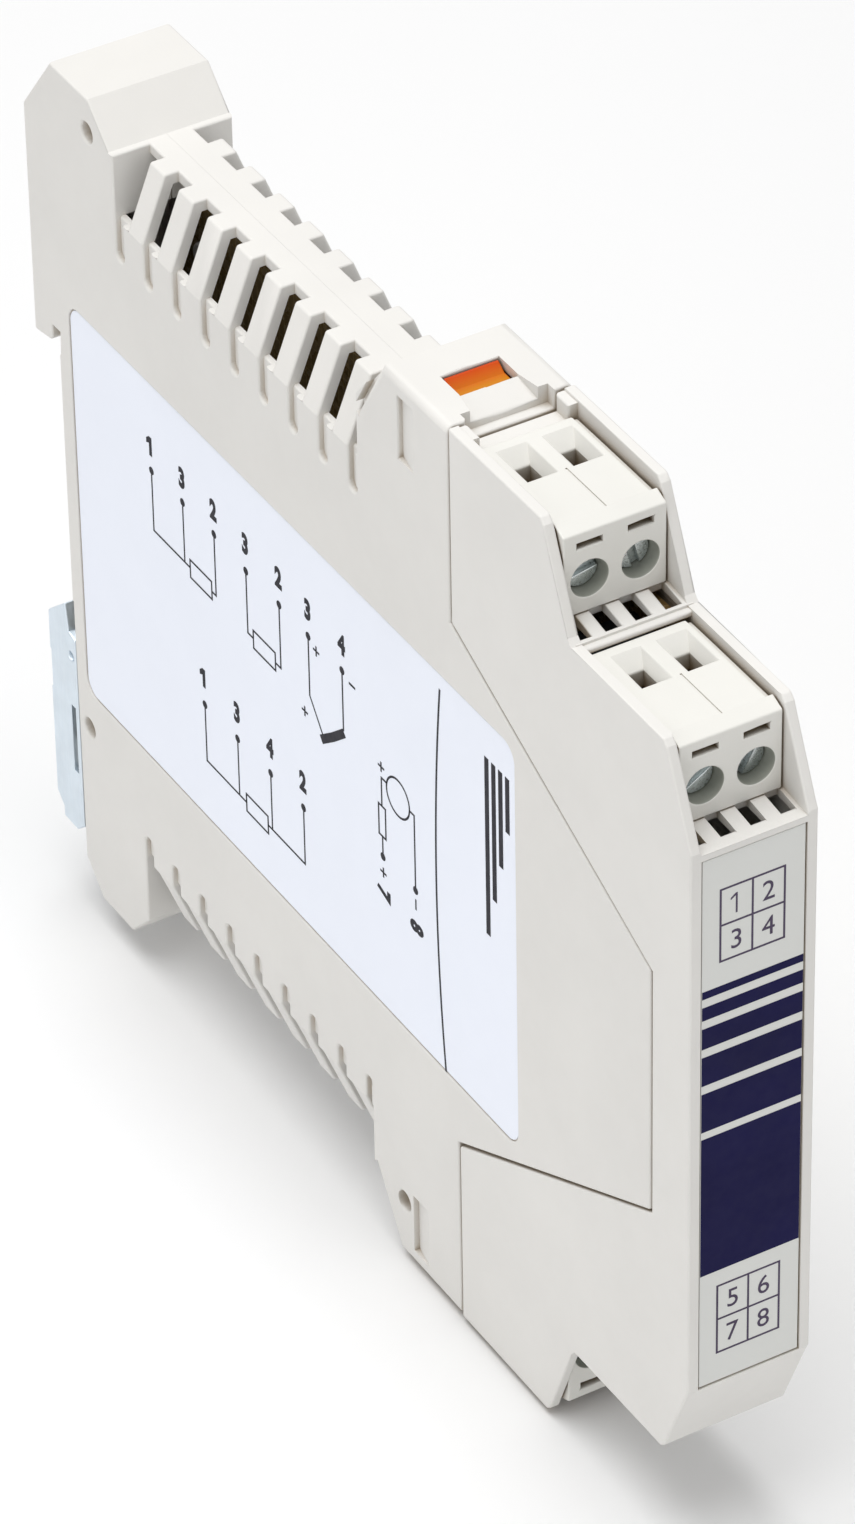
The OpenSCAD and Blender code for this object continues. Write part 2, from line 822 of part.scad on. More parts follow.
// Foot spring: one round wire swept along a helix
SPRING_RINGS = 12;
SPRING_SIDES = 8;
spring_z = spring_low_z + spring_seat + spring_wire_r;
spring_h = foot_root_z - spring_seat - spring_wire_r - spring_z;

function spring_point(i, s) =
  let (turn = 360 * i / SPRING_RINGS,
    side = 360 * s / SPRING_SIDES,
    r = spring_r - spring_wire_r + spring_wire_r * cos(side))
  [r * cos(turn), spring_y + r * sin(turn),
    spring_z + spring_h * i / (SPRING_RINGS * spring_turns) + spring_wire_r * sin(side)];

module foot_spring() {
  rings = SPRING_RINGS * spring_turns;
  points = [for (i = [0 : rings]) for (s = [0 : SPRING_SIDES - 1]) spring_point(i, s)];
  sides = [for (i = [0 : rings - 1]) for (s = [0 : SPRING_SIDES - 1])
    let (a = i * SPRING_SIDES + s, b = i * SPRING_SIDES + (s + 1) % SPRING_SIDES)
    [a, b, b + SPRING_SIDES, a + SPRING_SIDES]];
  first = [for (s = [SPRING_SIDES - 1 : -1 : 0]) s];
  last = [for (s = [0 : SPRING_SIDES - 1]) rings * SPRING_SIDES + s];
  color(zinc_colour) polyhedron(points, concat(sides, [first, last]));
}

// Release latch in the top window: a button with a collar under the roof and one guide leg
module latch() {
  top_z = half_h - latch_sink;
  collar_z = half_h - shell_wall - rest_gap;
  x = window_half - latch_play;
  y0 = window_y + latch_play;
  y1 = window_y + window_l - latch_play;
  color(orange_colour) {
    yz([-x, x]) polygon([
      [y0, collar_z - latch_h / 2],
      [y0, top_z],
      [y0 + latch_flat, top_z],
      [y1 - latch_play, top_z + latch_rise],
      [y1, top_z + latch_rise],
      [y1, collar_z - latch_h / 2]
    ]);
    block([-x - latch_collar, x + latch_collar], [y0 + latch_play, y1 + latch_collar],
      [collar_z - latch_h / 2, collar_z]);
    block([-x, x], [y1 + latch_collar - latch_leg_t, y1 + latch_collar],
      [collar_z - latch_h / 2 - latch_leg_h, collar_z - latch_h / 2]);
  }
}

module latch_top() {
  latch();
}

module latch_bottom() {
  mirror([0, 0, 1]) latch();
}

// Terminal places: the upper rear one, the upper front one, and the lower rear one as a mirror image
module at_top_rear() {
  translate([0, plug_y, plug_top_z]) children();
}

module at_top_front() {
  translate([0, plug_y - level_step_y, plug_top_z - plug_level_drop]) children();
}

module at_bottom_rear() {
  mirror([0, 0, 1]) at_top_rear() children();
}

module at_pole(side) {
  translate([side * pole_pitch / 2, 0, -axis_drop]) children();
}

// Cuts of one pole of a terminal, whose front face is at y = 0 and whose outer face is at z = 0
module plug_pole_cuts(side) {
  half = cage_half + chamber_play;
  top = axis_drop - chamber_top;
  y_rod(screw_head_r + head_play, 0, [-over, head_sink + head_t + rest_gap], 0);
  y_rod(screw_r + shank_play, 0, [head_sink, cage_y], 0);
  block([-half, half], [cage_y - cage_stroke - chamber_play, chamber_end],
    [-cage_half_h - chamber_play, cage_half_h + chamber_play]);
  bar_room = bar_half + chamber_play;
  block([-bar_room, bar_room], [bar_y - chamber_play, leaf_y + leaf_l + chamber_play],
    [axis_drop - bus_drop - bar_t - chamber_play, -leaf_half_h]);
  block([-bar_room, bar_room], [chamber_end - over, leaf_y + leaf_l + chamber_play],
    [-leaf_half_h - over, leaf_half_h + chamber_play]);
  block([-pin_hole / 2, pin_hole / 2], [chamber_end, plug_l + over], [-pin_hole / 2, pin_hole / 2]);
  translate([-side * entry_in, 0, 0]) intersection() {
    yz([-entry_w / 2, entry_w / 2]) polygon([
      [entry_back, axis_drop + over],
      [entry_back, top - over],
      [entry_back + entry_neck_l, top - over],
      [entry_back + entry_neck_l, axis_drop - entry_neck_h],
      [entry_back + entry_l, axis_drop],
      [entry_back + entry_l, axis_drop + over]
    ]);
    xz([entry_back, entry_back + entry_l]) polygon([
      [-entry_w / 2, axis_drop + over],
      [-entry_w / 2, axis_drop],
      [-entry_neck_w / 2, axis_drop - entry_neck_h],
      [-entry_neck_w / 2, top - over],
      [entry_neck_w / 2, top - over],
      [entry_neck_w / 2, axis_drop - entry_neck_h],
      [entry_w / 2, axis_drop],
      [entry_w / 2, axis_drop + over]
    ]);
  }
  block([-test_w / 2, test_w / 2], [-over, test_d],
    [axis_drop - test_drop - test_h / 2, axis_drop - test_drop + test_h / 2]);
}

// Terminal body: the brow at its front edge, a step along its right edge and shallow lines on top
module plug_body() {
  color(shell_colour) difference() {
    yz([-plug_half, plug_half]) polygon([
      [0, -plug_h],
      [0, -plug_brow_h],
      [plug_brow_l, 0],
      [plug_l - plug_edge, 0],
      [plug_l, -plug_edge],
      [plug_l, -plug_h]
    ]);
    block([plug_half - plug_step_w, plug_half + over], [plug_brow_l, plug_l + over], [-plug_step_h, over]);
    block([-plug_line_w / 2, plug_line_w / 2], [plug_brow_l, entry_back], [-plug_line_d, over]);
    at_pole(-1) plug_pole_cuts(-1);
    at_pole(1) plug_pole_cuts(1);
  }
}

module plug_body_top_rear() {
  at_top_rear() plug_body();
}

module plug_body_top_front() {
  at_top_front() plug_body();
}

module plug_body_bottom_rear() {
  at_bottom_rear() plug_body();
}

// Slotted terminal screw: head behind the front face, shank through the cage's threaded wall
module terminal_screw(side, turn) {
  color(zinc_colour) at_pole(side) {
    difference() {
      y_rod(screw_head_r, 0, [head_sink, head_sink + head_t], 0);
      rotate([0, turn, 0])
        block([-screw_head_r - over, screw_head_r + over], [head_sink - over, head_sink + slot_d],
          [-slot_w / 2, slot_w / 2]);
    }
    y_rod(screw_r, 0, [head_sink + head_t, bar_y - screw_tip_gap], 0);
  }
}

module terminal_screw_1() {
  at_top_rear() terminal_screw(-1, SLOT_TURNS[0]);
}

module terminal_screw_2() {
  at_top_rear() terminal_screw(1, SLOT_TURNS[1]);
}

module terminal_screw_3() {
  at_top_front() terminal_screw(-1, SLOT_TURNS[2]);
}

module terminal_screw_4() {
  at_top_front() terminal_screw(1, SLOT_TURNS[3]);
}

module terminal_screw_7() {
  at_bottom_rear() terminal_screw(-1, SLOT_TURNS[4]);
}

module terminal_screw_8() {
  at_bottom_rear() terminal_screw(1, SLOT_TURNS[5]);
}

// Clamp cage: a square frame open towards the wire entry, threaded on the screw
module clamp_cage(side) {
  color(brass_colour) at_pole(side) difference() {
    block([-cage_half, cage_half], [cage_y, cage_y + cage_l], [-cage_half_h, cage_half_h]);
    block([cage_t / 2 - cage_half, cage_half - cage_t / 2], [cage_y + cage_t, cage_y + cage_l - cage_t],
      [-cage_half_h - over, cage_half_h + over]);
    y_rod(screw_r + screw_play, 0, [cage_y - over, cage_y + cage_t + over], 0);
  }
}

module clamp_cage_1() {
  at_top_rear() clamp_cage(-1);
}

module clamp_cage_2() {
  at_top_rear() clamp_cage(1);
}

module clamp_cage_3() {
  at_top_front() clamp_cage(-1);
}

module clamp_cage_4() {
  at_top_front() clamp_cage(1);
}

module clamp_cage_7() {
  at_bottom_rear() clamp_cage(-1);
}

module clamp_cage_8() {
  at_bottom_rear() clamp_cage(1);
}

// Contact of one pole: the bar inside the cage, the strip under it and two leaves round the pin
module plug_contact() {
  leaf_x = pin_side / 2 + leaf_gap;
  strip_z = axis_drop - bus_drop;
  block([-bar_half, bar_half], [bar_y, bar_y + bar_t], [strip_z - bar_t, cage_half_h]);
  block([-bar_half, bar_half], [bar_y, leaf_y + leaf_l], [strip_z - bar_t, strip_z]);
  both_sides() block([leaf_x, leaf_x + leaf_t], [leaf_y, leaf_y + leaf_l], [strip_z - bar_t, leaf_half_h]);
}

module plug_contacts() {
  color(brass_colour) {
    at_pole(-1) plug_contact();
    at_pole(1) plug_contact();
  }
}

module plug_contacts_top_rear() {
  at_top_rear() plug_contacts();
}

module plug_contacts_top_front() {
  at_top_front() plug_contacts();
}

module plug_contacts_bottom_rear() {
  at_bottom_rear() plug_contacts();
}

// Pin header behind a terminal, seated on the board
module pin_header() {
  y0 = plug_l + header_gap;
  color(dark_colour) difference() {
    block([-pocket_w + header_gap, board_face], [y0, y0 + header_l],
      [-axis_drop - header_h / 2, header_h / 2 - axis_drop]);
    at_pole(-1) header_pin(rest_gap / 2);
    at_pole(1) header_pin(rest_gap / 2);
  }
}

// Square pin, from inside the header forward into the terminal
module header_pin(grow) {
  half = pin_side / 2 + grow;
  y0 = plug_l - pin_reach;
  y1 = plug_l + header_gap + header_l / 2;
  block([-half, half], [y0, y1 + half], [-half, half]);
}

module header_pins() {
  color(brass_colour) {
    at_pole(-1) header_pin(0);
    at_pole(1) header_pin(0);
  }
}

module pin_header_top_rear() {
  at_top_rear() pin_header();
}

module pin_header_top_front() {
  at_top_front() pin_header();
}

module pin_header_bottom_rear() {
  at_bottom_rear() pin_header();
}

module header_pins_top_rear() {
  at_top_rear() header_pins();
}

module header_pins_top_front() {
  at_top_front() header_pins();
}

module header_pins_bottom_rear() {
  at_bottom_rear() header_pins();
}

// Circuit board in the yz plane, against the posts of the right shell
module board_outline() {
  polygon([
    [board_rear_y, board_corner - board_half_h],
    [board_rear_y - board_corner, -board_half_h],
    [board_head_y + board_corner, -board_half_h],
    [board_head_y, -board_half_h - board_corner],
    [board_head_y, -board_head_half_h],
    [board_neck_y, -board_head_half_h],
    [board_neck_y, -board_nose_half_h],
    [board_front_y, -board_nose_half_h],
    [board_front_y, board_nose_half_h],
    [board_neck_y, board_nose_half_h],
    [board_neck_y, board_head_half_h],
    [board_head_y, board_head_half_h],
    [board_head_y, board_half_h + board_corner],
    [board_head_y + board_corner, board_half_h],
    [board_rear_y - board_corner, board_half_h],
    [board_rear_y, board_half_h - board_corner]
  ]);
}

module circuit_board() {
  color(board_colour) difference() {
    yz([board_face, board_x]) board_outline();
    for (p = POSTS) x_rod(post_r + post_play, [board_face - over, board_x + over], p[0], p[1]);
  }
}

// A place on the board: x runs along the module, y up, and z away from the board
module on_board(p) {
  translate([board_face - seat, p[0], p[1]]) rotate([90, 0, -90]) children();
}

module slab(size, z) {
  translate([-size[0] / 2, -size[1] / 2, z]) cube(size);
}

// Ferrite core with two windows, and the winding round its middle leg
module transformer_core() {
  window_w = (core_w - core_leg) / 2 - core_yoke;
  window_x = core_leg / 2 + window_w / 2;
  color(dark_colour) on_board(TRANSFORMER) difference() {
    slab([core_w, core_h, core_t], core_lift);
    for (side = [-1, 1]) translate([side * window_x, 0, 0])
      slab([window_w, core_h - 2 * core_yoke, core_t + 2 * over], core_lift - over);
  }
}

module transformer_winding() {
  window_w = (core_w - core_leg) / 2 - core_yoke;
  color(orange_colour) on_board(TRANSFORMER) difference() {
    slab([core_leg + 2 * window_w - 2 * coil_play, core_h - 2 * core_yoke - 2 * coil_play,
      core_t + 2 * coil_over], core_lift - coil_over);
    slab([core_leg + 2 * coil_play, core_h, core_t + 2 * coil_play], core_lift - coil_play);
  }
}

// Gull-wing lead along +x, from the body's side down to the board
module lead(edge, body_t) {
  translate([edge - lead_w, -lead_w / 2, body_t / 2]) cube([lead_w + lead_reach / 2, lead_w, lead_t]);
  translate([edge + lead_reach / 2 - lead_t, -lead_w / 2, 0]) cube([lead_t, lead_w, body_t / 2 + lead_t]);
  translate([edge + lead_reach / 2 - lead_t, -lead_w / 2, 0]) cube([lead_t + lead_reach / 2, lead_w, lead_t]);
}

module lead_row(count, pitch, edge, body_t) {
  for (i = [0 : count - 1]) translate([0, (i - (count - 1) / 2) * pitch, 0]) lead(edge, body_t);
}

module controller_chip() {
  color(dark_colour) on_board(CONTROLLER) {
    slab([controller_side, controller_side, controller_t], lead_t);
    for (turn = [0 : 90 : 270]) rotate([0, 0, turn])
      lead_row(controller_leads, lead_pitch, controller_side / 2, controller_t);
  }
}

module signal_chips() {
  color(dark_colour) for (p = SIGNAL_CHIPS) on_board(p) {
    slab([signal_w, signal_l, signal_t], lead_t);
    for (turn = [0, 180]) rotate([0, 0, turn])
      lead_row(signal_leads, signal_pitch, signal_w / 2, signal_t);
  }
}

module storage_capacitors() {
  color(zinc_colour) for (p = CAPACITORS) on_board(p) {
    slab([capacitor_base, capacitor_base, capacitor_base_t], 0);
    cylinder(r = capacitor_r, h = capacitor_h);
  }
}

module power_inductor() {
  color(dark_colour) on_board(INDUCTOR) difference() {
    slab([inductor_side, inductor_side, inductor_t], 0);
    translate([0, 0, inductor_t - inductor_rim]) difference() {
      cylinder(r = inductor_side / 2 - inductor_rim, h = inductor_t);
      cylinder(r = inductor_r, h = inductor_t);
    }
  }
}

module protection_diodes() {
  color(dark_colour) for (p = DIODES) on_board(p) {
    slab([diode_w, diode_l, diode_t - diode_foot_t], diode_foot_t);
    slab([diode_foot_w, diode_l + diode_foot, diode_foot_t], 0);
  }
}

module chip_resistors() {
  color(dark_colour) for (p = RESISTORS) on_board(p) slab([resistor_w, resistor_l, resistor_t], 0);
}

module clock_crystal() {
  color(zinc_colour) on_board(CRYSTAL) {
    slab([crystal_w, crystal_l, crystal_t], 0);
  }
}

base_shell_left();
base_shell_right();
front_cover();
front_label();
side_label();
rail_foot();
foot_spring();
latch_top();
latch_bottom();
plug_body_top_rear();
plug_body_top_front();
plug_body_bottom_rear();
terminal_screw_1();
terminal_screw_2();
terminal_screw_3();
terminal_screw_4();
terminal_screw_7();
terminal_screw_8();
clamp_cage_1();
clamp_cage_2();
clamp_cage_3();
clamp_cage_4();
clamp_cage_7();
clamp_cage_8();
plug_contacts_top_rear();
plug_contacts_top_front();
plug_contacts_bottom_rear();
pin_header_top_rear();
pin_header_top_front();
pin_header_bottom_rear();
header_pins_top_rear();
header_pins_top_front();
header_pins_bottom_rear();
circuit_board();
transformer_core();
transformer_winding();
controller_chip();
signal_chips();
storage_capacitors();
power_inductor();
protection_diodes();
chip_resistors();
clock_crystal();
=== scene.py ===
"""Looks of a slim rail-mounted signal module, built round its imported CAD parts. Metres, row frame."""
import json
import math

import bmesh
import bpy
from mathutils import Matrix, Vector
from mathutils.bvhtree import BVHTree
from mathutils.kdtree import KDTree

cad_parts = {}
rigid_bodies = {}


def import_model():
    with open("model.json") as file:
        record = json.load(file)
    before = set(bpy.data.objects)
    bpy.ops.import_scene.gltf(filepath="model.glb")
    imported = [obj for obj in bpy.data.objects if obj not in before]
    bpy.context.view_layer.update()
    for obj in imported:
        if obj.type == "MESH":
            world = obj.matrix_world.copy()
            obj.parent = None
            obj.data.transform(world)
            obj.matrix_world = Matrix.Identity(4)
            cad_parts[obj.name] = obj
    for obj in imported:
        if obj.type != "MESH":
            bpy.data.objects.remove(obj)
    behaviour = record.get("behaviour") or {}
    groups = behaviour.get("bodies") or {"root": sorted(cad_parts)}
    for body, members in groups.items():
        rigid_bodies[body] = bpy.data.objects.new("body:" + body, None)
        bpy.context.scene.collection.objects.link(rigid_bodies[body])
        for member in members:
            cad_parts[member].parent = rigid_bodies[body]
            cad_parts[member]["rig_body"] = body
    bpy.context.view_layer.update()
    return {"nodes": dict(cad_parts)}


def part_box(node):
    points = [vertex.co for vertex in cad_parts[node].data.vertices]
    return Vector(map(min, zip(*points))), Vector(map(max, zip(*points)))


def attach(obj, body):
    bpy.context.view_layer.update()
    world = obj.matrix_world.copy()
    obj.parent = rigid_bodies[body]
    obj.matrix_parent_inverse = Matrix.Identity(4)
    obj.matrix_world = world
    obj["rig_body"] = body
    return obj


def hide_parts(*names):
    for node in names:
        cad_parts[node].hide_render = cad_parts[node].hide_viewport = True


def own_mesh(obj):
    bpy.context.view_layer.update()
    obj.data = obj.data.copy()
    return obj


MM = 0.001
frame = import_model()
NODES = frame["nodes"]


# Materials: noise scales in features per metre, depths in metres, reaches of the painted recess shade in
# millimetres
NOISE_LOW = 0.3
NOISE_HIGH = 0.7
TONE_SCALE = 90
METAL_TONE_SCALE = 320
GLOSS_SCALE = 900
GRAIN_SCALE = 5200
GRAIN_DEPTH = 0.000012
BRUSHING_DEPTH = 0.00001
# Painted recess shade: rays per point, and the shares of open sky at which the shade is full and at which
# it fades out
RECESS_SHADE_SAMPLES = 8
RECESS_SHADE_FULL = 0.1
OPEN_FROM = 0.56


def new_material(name):
    """A material with one shader on its output; gives the material, its node tree and the shader."""
    mat = bpy.data.materials.new(name)
    mat.use_nodes = True
    tree = mat.node_tree
    tree.nodes.clear()
    out = tree.nodes.new("ShaderNodeOutputMaterial")
    bsdf = tree.nodes.new("ShaderNodeBsdfPrincipled")
    tree.links.new(bsdf.outputs["BSDF"], out.inputs["Surface"])
    return mat, tree, bsdf


def noise(tree, scale, detail=2.0, rough=0.5, stretch=(1, 1, 1)):
    """Noise over the row frame, with its own stretch along each axis."""
    coord = tree.nodes.new("ShaderNodeTexCoord")
    mapping = tree.nodes.new("ShaderNodeMapping")
    mapping.inputs["Scale"].default_value = stretch
    tex = tree.nodes.new("ShaderNodeTexNoise")
    tex.inputs["Scale"].default_value = scale
    tex.inputs["Detail"].default_value = detail
    tex.inputs["Roughness"].default_value = rough
    tree.links.new(coord.outputs["Object"], mapping.inputs["Vector"])
    tree.links.new(mapping.outputs["Vector"], tex.inputs["Vector"])
    return tex.outputs["Fac"]


def ramp(tree, fac, low, high, start=NOISE_LOW, end=NOISE_HIGH):
    """Colour that goes from low to high as fac goes from start to end."""
    node = tree.nodes.new("ShaderNodeValToRGB")
    node.color_ramp.elements[0].position = start
    node.color_ramp.elements[1].position = end
    node.color_ramp.elements[0].color = (*low, 1)
    node.color_ramp.elements[1].color = (*high, 1)
    tree.links.new(fac, node.inputs["Fac"])
    return node.outputs["Color"]


def to_range(tree, fac, low, high):
    """Value that goes from low to high over the usual span of the noise."""
    node = tree.nodes.new("ShaderNodeMapRange")
    node.inputs["From Min"].default_value = NOISE_LOW
    node.inputs["From Max"].default_value = NOISE_HIGH
    node.inputs["To Min"].default_value = low
    node.inputs["To Max"].default_value = high
    tree.links.new(fac, node.inputs["Value"])
    return node.outputs["Result"]


def bump(tree, bsdf, fac, depth, strength):
    """Gives the surface a relief that follows fac."""
    node = tree.nodes.new("ShaderNodeBump")
    node.inputs["Distance"].default_value = depth
    node.inputs["Strength"].default_value = strength
    tree.links.new(fac, node.inputs["Height"])
    tree.links.new(node.outputs["Normal"], bsdf.inputs["Normal"])


def shade(color, k):
    """The colour made darker or lighter by the factor k."""
    return tuple(max(0.0, min(1.0, c * k)) for c in color)


def hollowed(tree, color, shade_tint, reach, local, open_from=OPEN_FROM):
    """The colour with painted shade, which goes over to a darker tint where the surface lies in a gap, a
    slot or a recess, as ambient occlusion finds them.

    With local, only the piece's own surfaces shade it.
    """
    near = tree.nodes.new("ShaderNodeAmbientOcclusion")
    near.inputs["Distance"].default_value = reach * MM
    near.samples = RECESS_SHADE_SAMPLES
    near.only_local = local
    mix = tree.nodes.new("ShaderNodeMix")
    mix.data_type = "RGBA"
    mix.blend_type = "MULTIPLY"
    mix.inputs["Factor"].default_value = 1.0
    painted_shade = ramp(tree, near.outputs["AO"], shade_tint, (1, 1, 1), RECESS_SHADE_FULL, open_from)
    tree.links.new(color, mix.inputs["A"])
    tree.links.new(painted_shade, mix.inputs["B"])
    return mix.outputs["Result"]


def plastic(name, color, rough=0.5, grain=GRAIN_SCALE, grain_depth=GRAIN_DEPTH, spread=0.03, specular=0.4,
            shade_tint=None, reach=3.0, local=False, open_from=OPEN_FROM):
    """Moulded plastic: a fine eroded texture, and a faint change of tone and gloss over the part; with a
    shade tint, painted shade darkens it in gaps, slots and recesses.
    """
    mat, tree, bsdf = new_material(name)
    tone = ramp(tree, noise(tree, TONE_SCALE, 3), shade(color, 1 - spread), shade(color, 1 + spread / 2))
    if shade_tint:
        tone = hollowed(tree, tone, shade_tint, reach, local, open_from)
    gloss = to_range(tree, noise(tree, GLOSS_SCALE), rough - 0.05, rough + 0.06)
    tree.links.new(tone, bsdf.inputs["Base Color"])
    tree.links.new(gloss, bsdf.inputs["Roughness"])
    bump(tree, bsdf, noise(tree, grain, 2, 0.6), grain_depth, 0.5)
    bsdf.inputs["Specular IOR Level"].default_value = specular
    return mat


def film(name, color, rough):
    """Label film, smoother than the moulded plastic under it."""
    return plastic(name, color, rough, grain=1800, grain_depth=0.000004, spread=0.015)


def ink(name, color, rough=0.5, spread=0.2, specular=0.15):
    """Screen print, with little shine."""
    return plastic(name, color, rough, grain=2600, grain_depth=0.000003, spread=spread, specular=specular)


def metal(name, color, rough=0.35, stretch=(1, 1, 1), scale=2500, spread=0.1,
          shade_tint=None, reach=1.0, local=False):
    """Metal with fine brushing or grain along one axis, and uneven gloss; with a shade tint, painted shade
    darkens it in slots and hollows.
    """
    mat, tree, bsdf = new_material(name)
    bsdf.inputs["Metallic"].default_value = 1.0
    clouds = noise(tree, METAL_TONE_SCALE, 3)
    tone = ramp(tree, clouds, shade(color, 1 - spread), shade(color, 1 + spread / 2))
    if shade_tint:
        tone = hollowed(tree, tone, shade_tint, reach, local)
    lines = noise(tree, scale, 3, 0.6, stretch)
    tree.links.new(tone, bsdf.inputs["Base Color"])
    tree.links.new(to_range(tree, lines, rough - 0.08, rough + 0.1), bsdf.inputs["Roughness"])
    bump(tree, bsdf, lines, BRUSHING_DEPTH, 0.4)
    return mat


def board_material():
    """Brown laminate, with lighter lines where the traces run under its mask, and painted shade where the
    housing closes over it.
    """
    mat, tree, bsdf = new_material("board_mask")
    coord = tree.nodes.new("ShaderNodeTexCoord")
    turn = tree.nodes.new("ShaderNodeMapping")
    turn.inputs["Rotation"].default_value = (0, math.radians(90), 0)
    brick = tree.nodes.new("ShaderNodeTexBrick")
    brick.inputs["Scale"].default_value = 260
    brick.inputs["Mortar Size"].default_value = 0.012
    brick.inputs["Color1"].default_value = (0.25, 0.175, 0.075, 1)
    brick.inputs["Color2"].default_value = (0.22, 0.15, 0.06, 1)
    brick.inputs["Mortar"].default_value = (0.36, 0.27, 0.13, 1)
    tree.links.new(coord.outputs["Object"], turn.inputs["Vector"])
    tree.links.new(turn.outputs["Vector"], brick.inputs["Vector"])
    # Painted shade: the board darkens where the housing's walls close over it
    tone = hollowed(tree, brick.outputs["Color"], (0.6, 0.5, 0.4), 9, False)
    tree.links.new(tone, bsdf.inputs["Base Color"])
    tree.links.new(to_range(tree, noise(tree, 700), 0.2, 0.34), bsdf.inputs["Roughness"])
    bump(tree, bsdf, brick.outputs["Fac"], 0.00002, 0.4)
    return mat


def latch_material():
    """Orange moulding, with a painted shadow that turns it dark red towards the rear of its slot, and
    painted shade near the slot's walls.
    """
    mat, tree, bsdf = new_material("latch_orange")
    front, rear = (corner.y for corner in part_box("latch_top"))
    coord = tree.nodes.new("ShaderNodeTexCoord")
    axes = tree.nodes.new("ShaderNodeSeparateXYZ")
    depth = tree.nodes.new("ShaderNodeMapRange")
    depth.inputs["From Min"].default_value = front
    depth.inputs["From Max"].default_value = rear
    tree.links.new(coord.outputs["Object"], axes.inputs["Vector"])
    tree.links.new(axes.outputs["Y"], depth.inputs["Value"])
    # Painted shadow: orange at the front of the slot, dark red at the rear, where the slot's rear edge
    # shades it
    tone = ramp(tree, depth.outputs["Result"], (0.56, 0.23, 0.004), (0.56, 0.048, 0.001), 0.1, 0.85)
    # Painted shade where the walls of the slot close in
    tone = hollowed(tree, tone, (0.5, 0.2, 0.1), 1.2, False)
    tree.links.new(tone, bsdf.inputs["Base Color"])
    tree.links.new(to_range(tree, noise(tree, GLOSS_SCALE), 0.29, 0.4), bsdf.inputs["Roughness"])
    bump(tree, bsdf, noise(tree, GRAIN_SCALE, 2, 0.6), GRAIN_DEPTH, 0.5)
    bsdf.inputs["Specular IOR Level"].default_value = 0.2
    return mat


# Tint of the painted shade in the gaps, slots, vents and recesses of the housing; the shells and the cover
# take it
RECESS_SHADE_TINT = (0.52, 0.42, 0.30)
shell_mat = plastic("shell_plastic", (0.725, 0.71, 0.68), 0.52, shade_tint=RECESS_SHADE_TINT)
cover_mat = plastic("cover_plastic", (0.735, 0.72, 0.69), 0.5, shade_tint=RECESS_SHADE_TINT)
# The terminals take a deeper and wider painted shade, in their gaps and wire entries
terminal_mat = plastic("terminal_plastic", (0.73, 0.72, 0.68), 0.46,
                       shade_tint=(0.24, 0.16, 0.08), reach=4.5, open_from=0.42)
# A dark grey-green stands in for the shade on the walls of the screw holes: painted shade, with more
# painted shade deeper in
bore_shade_mat = plastic("terminal_bore_painted_shade", (0.30, 0.31, 0.27), 0.5, shade_tint=(0.5, 0.45, 0.35), reach=2.2, local=True)
label_mat = film("label_film", (0.84, 0.875, 0.965), 0.34)
front_film_mat = film("front_film", (0.69, 0.695, 0.67), 0.36)
ink_mat = ink("print_ink", (0.012, 0.011, 0.018))
grid_mat = ink("grid_ink", (0.08, 0.06, 0.105), spread=0.15)
navy_mat = ink("navy_ink", (0.004, 0.003, 0.05), 0.55, specular=0.12)
zinc_mat = metal("foot_zinc", (0.68, 0.75, 0.81), 0.42, (1, 1, 0.12), 3000, spread=0.06)
spring_mat = metal("spring_wire", (0.55, 0.55, 0.55), 0.3)
# Painted shade darkens the screws' slots
screw_mat = metal("screw_zinc", (0.74, 0.79, 0.80), 0.3, (1, 0.1, 1), 4200, spread=0.2,
                  shade_tint=(0.05, 0.055, 0.05), reach=0.9, local=True)
# Painted shade deep in the wire entries, on the cages and the contacts
cage_mat = metal("cage_metal", (0.66, 0.62, 0.52), shade_tint=(0.16, 0.09, 0.03), reach=3.2)
contact_mat = metal("contact_metal", (0.80, 0.67, 0.42), 0.3, shade_tint=(0.3, 0.17, 0.06), reach=3.2)
header_mat = plastic("header_black", (0.035, 0.035, 0.037), 0.45, spread=0.15)
ferrite_mat = plastic("ferrite", (0.06, 0.06, 0.065), 0.6, grain=3600, grain_depth=0.00003, spread=0.2)
tape_mat = plastic("winding_tape", (0.72, 0.45, 0.06), 0.25, spread=0.1)
chip_mat = plastic("chip_black", (0.03, 0.03, 0.033), 0.42, spread=0.15)
can_mat = metal("capacitor_can", (0.74, 0.75, 0.76), 0.25)
crystal_mat = metal("crystal_can", (0.74, 0.73, 0.71), 0.22)

LOOKS = {
    "base_shell": shell_mat, "front_cover": cover_mat, "front_label": front_film_mat,
    "side_label": label_mat, "rail_foot": zinc_mat, "foot_spring": spring_mat,
    "latch": latch_material(), "plug_body": terminal_mat, "terminal_screw": screw_mat,
    "clamp_cage": cage_mat, "plug_contacts": contact_mat, "pin_header": header_mat,
    "header_pins": contact_mat, "circuit_board": board_material(), "transformer_core": ferrite_mat,
    "transformer_winding": tape_mat, "controller_chip": chip_mat, "signal_chips": chip_mat,
    "storage_capacitors": can_mat, "power_inductor": ferrite_mat, "protection_diodes": chip_mat,
    "chip_resistors": chip_mat, "clock_crystal": crystal_mat,
}


def look_of(node):
    """The material of the row in LOOKS that the node's name starts with."""
    for start, mat in LOOKS.items():
        if node.startswith(start):
            return mat
    raise ValueError(node)


for node, obj in NODES.items():
    obj.data.materials.clear()
    obj.data.materials.append(look_of(node))


# Refined solids: what counts as one corner, one flat face and one sharp edge
WELD_REACH = 0.002 * MM
SPECK_LENGTH = 0.001 * MM
FLAT_ANGLE = math.radians(0.6)
SHARP_ANGLE = math.radians(28)

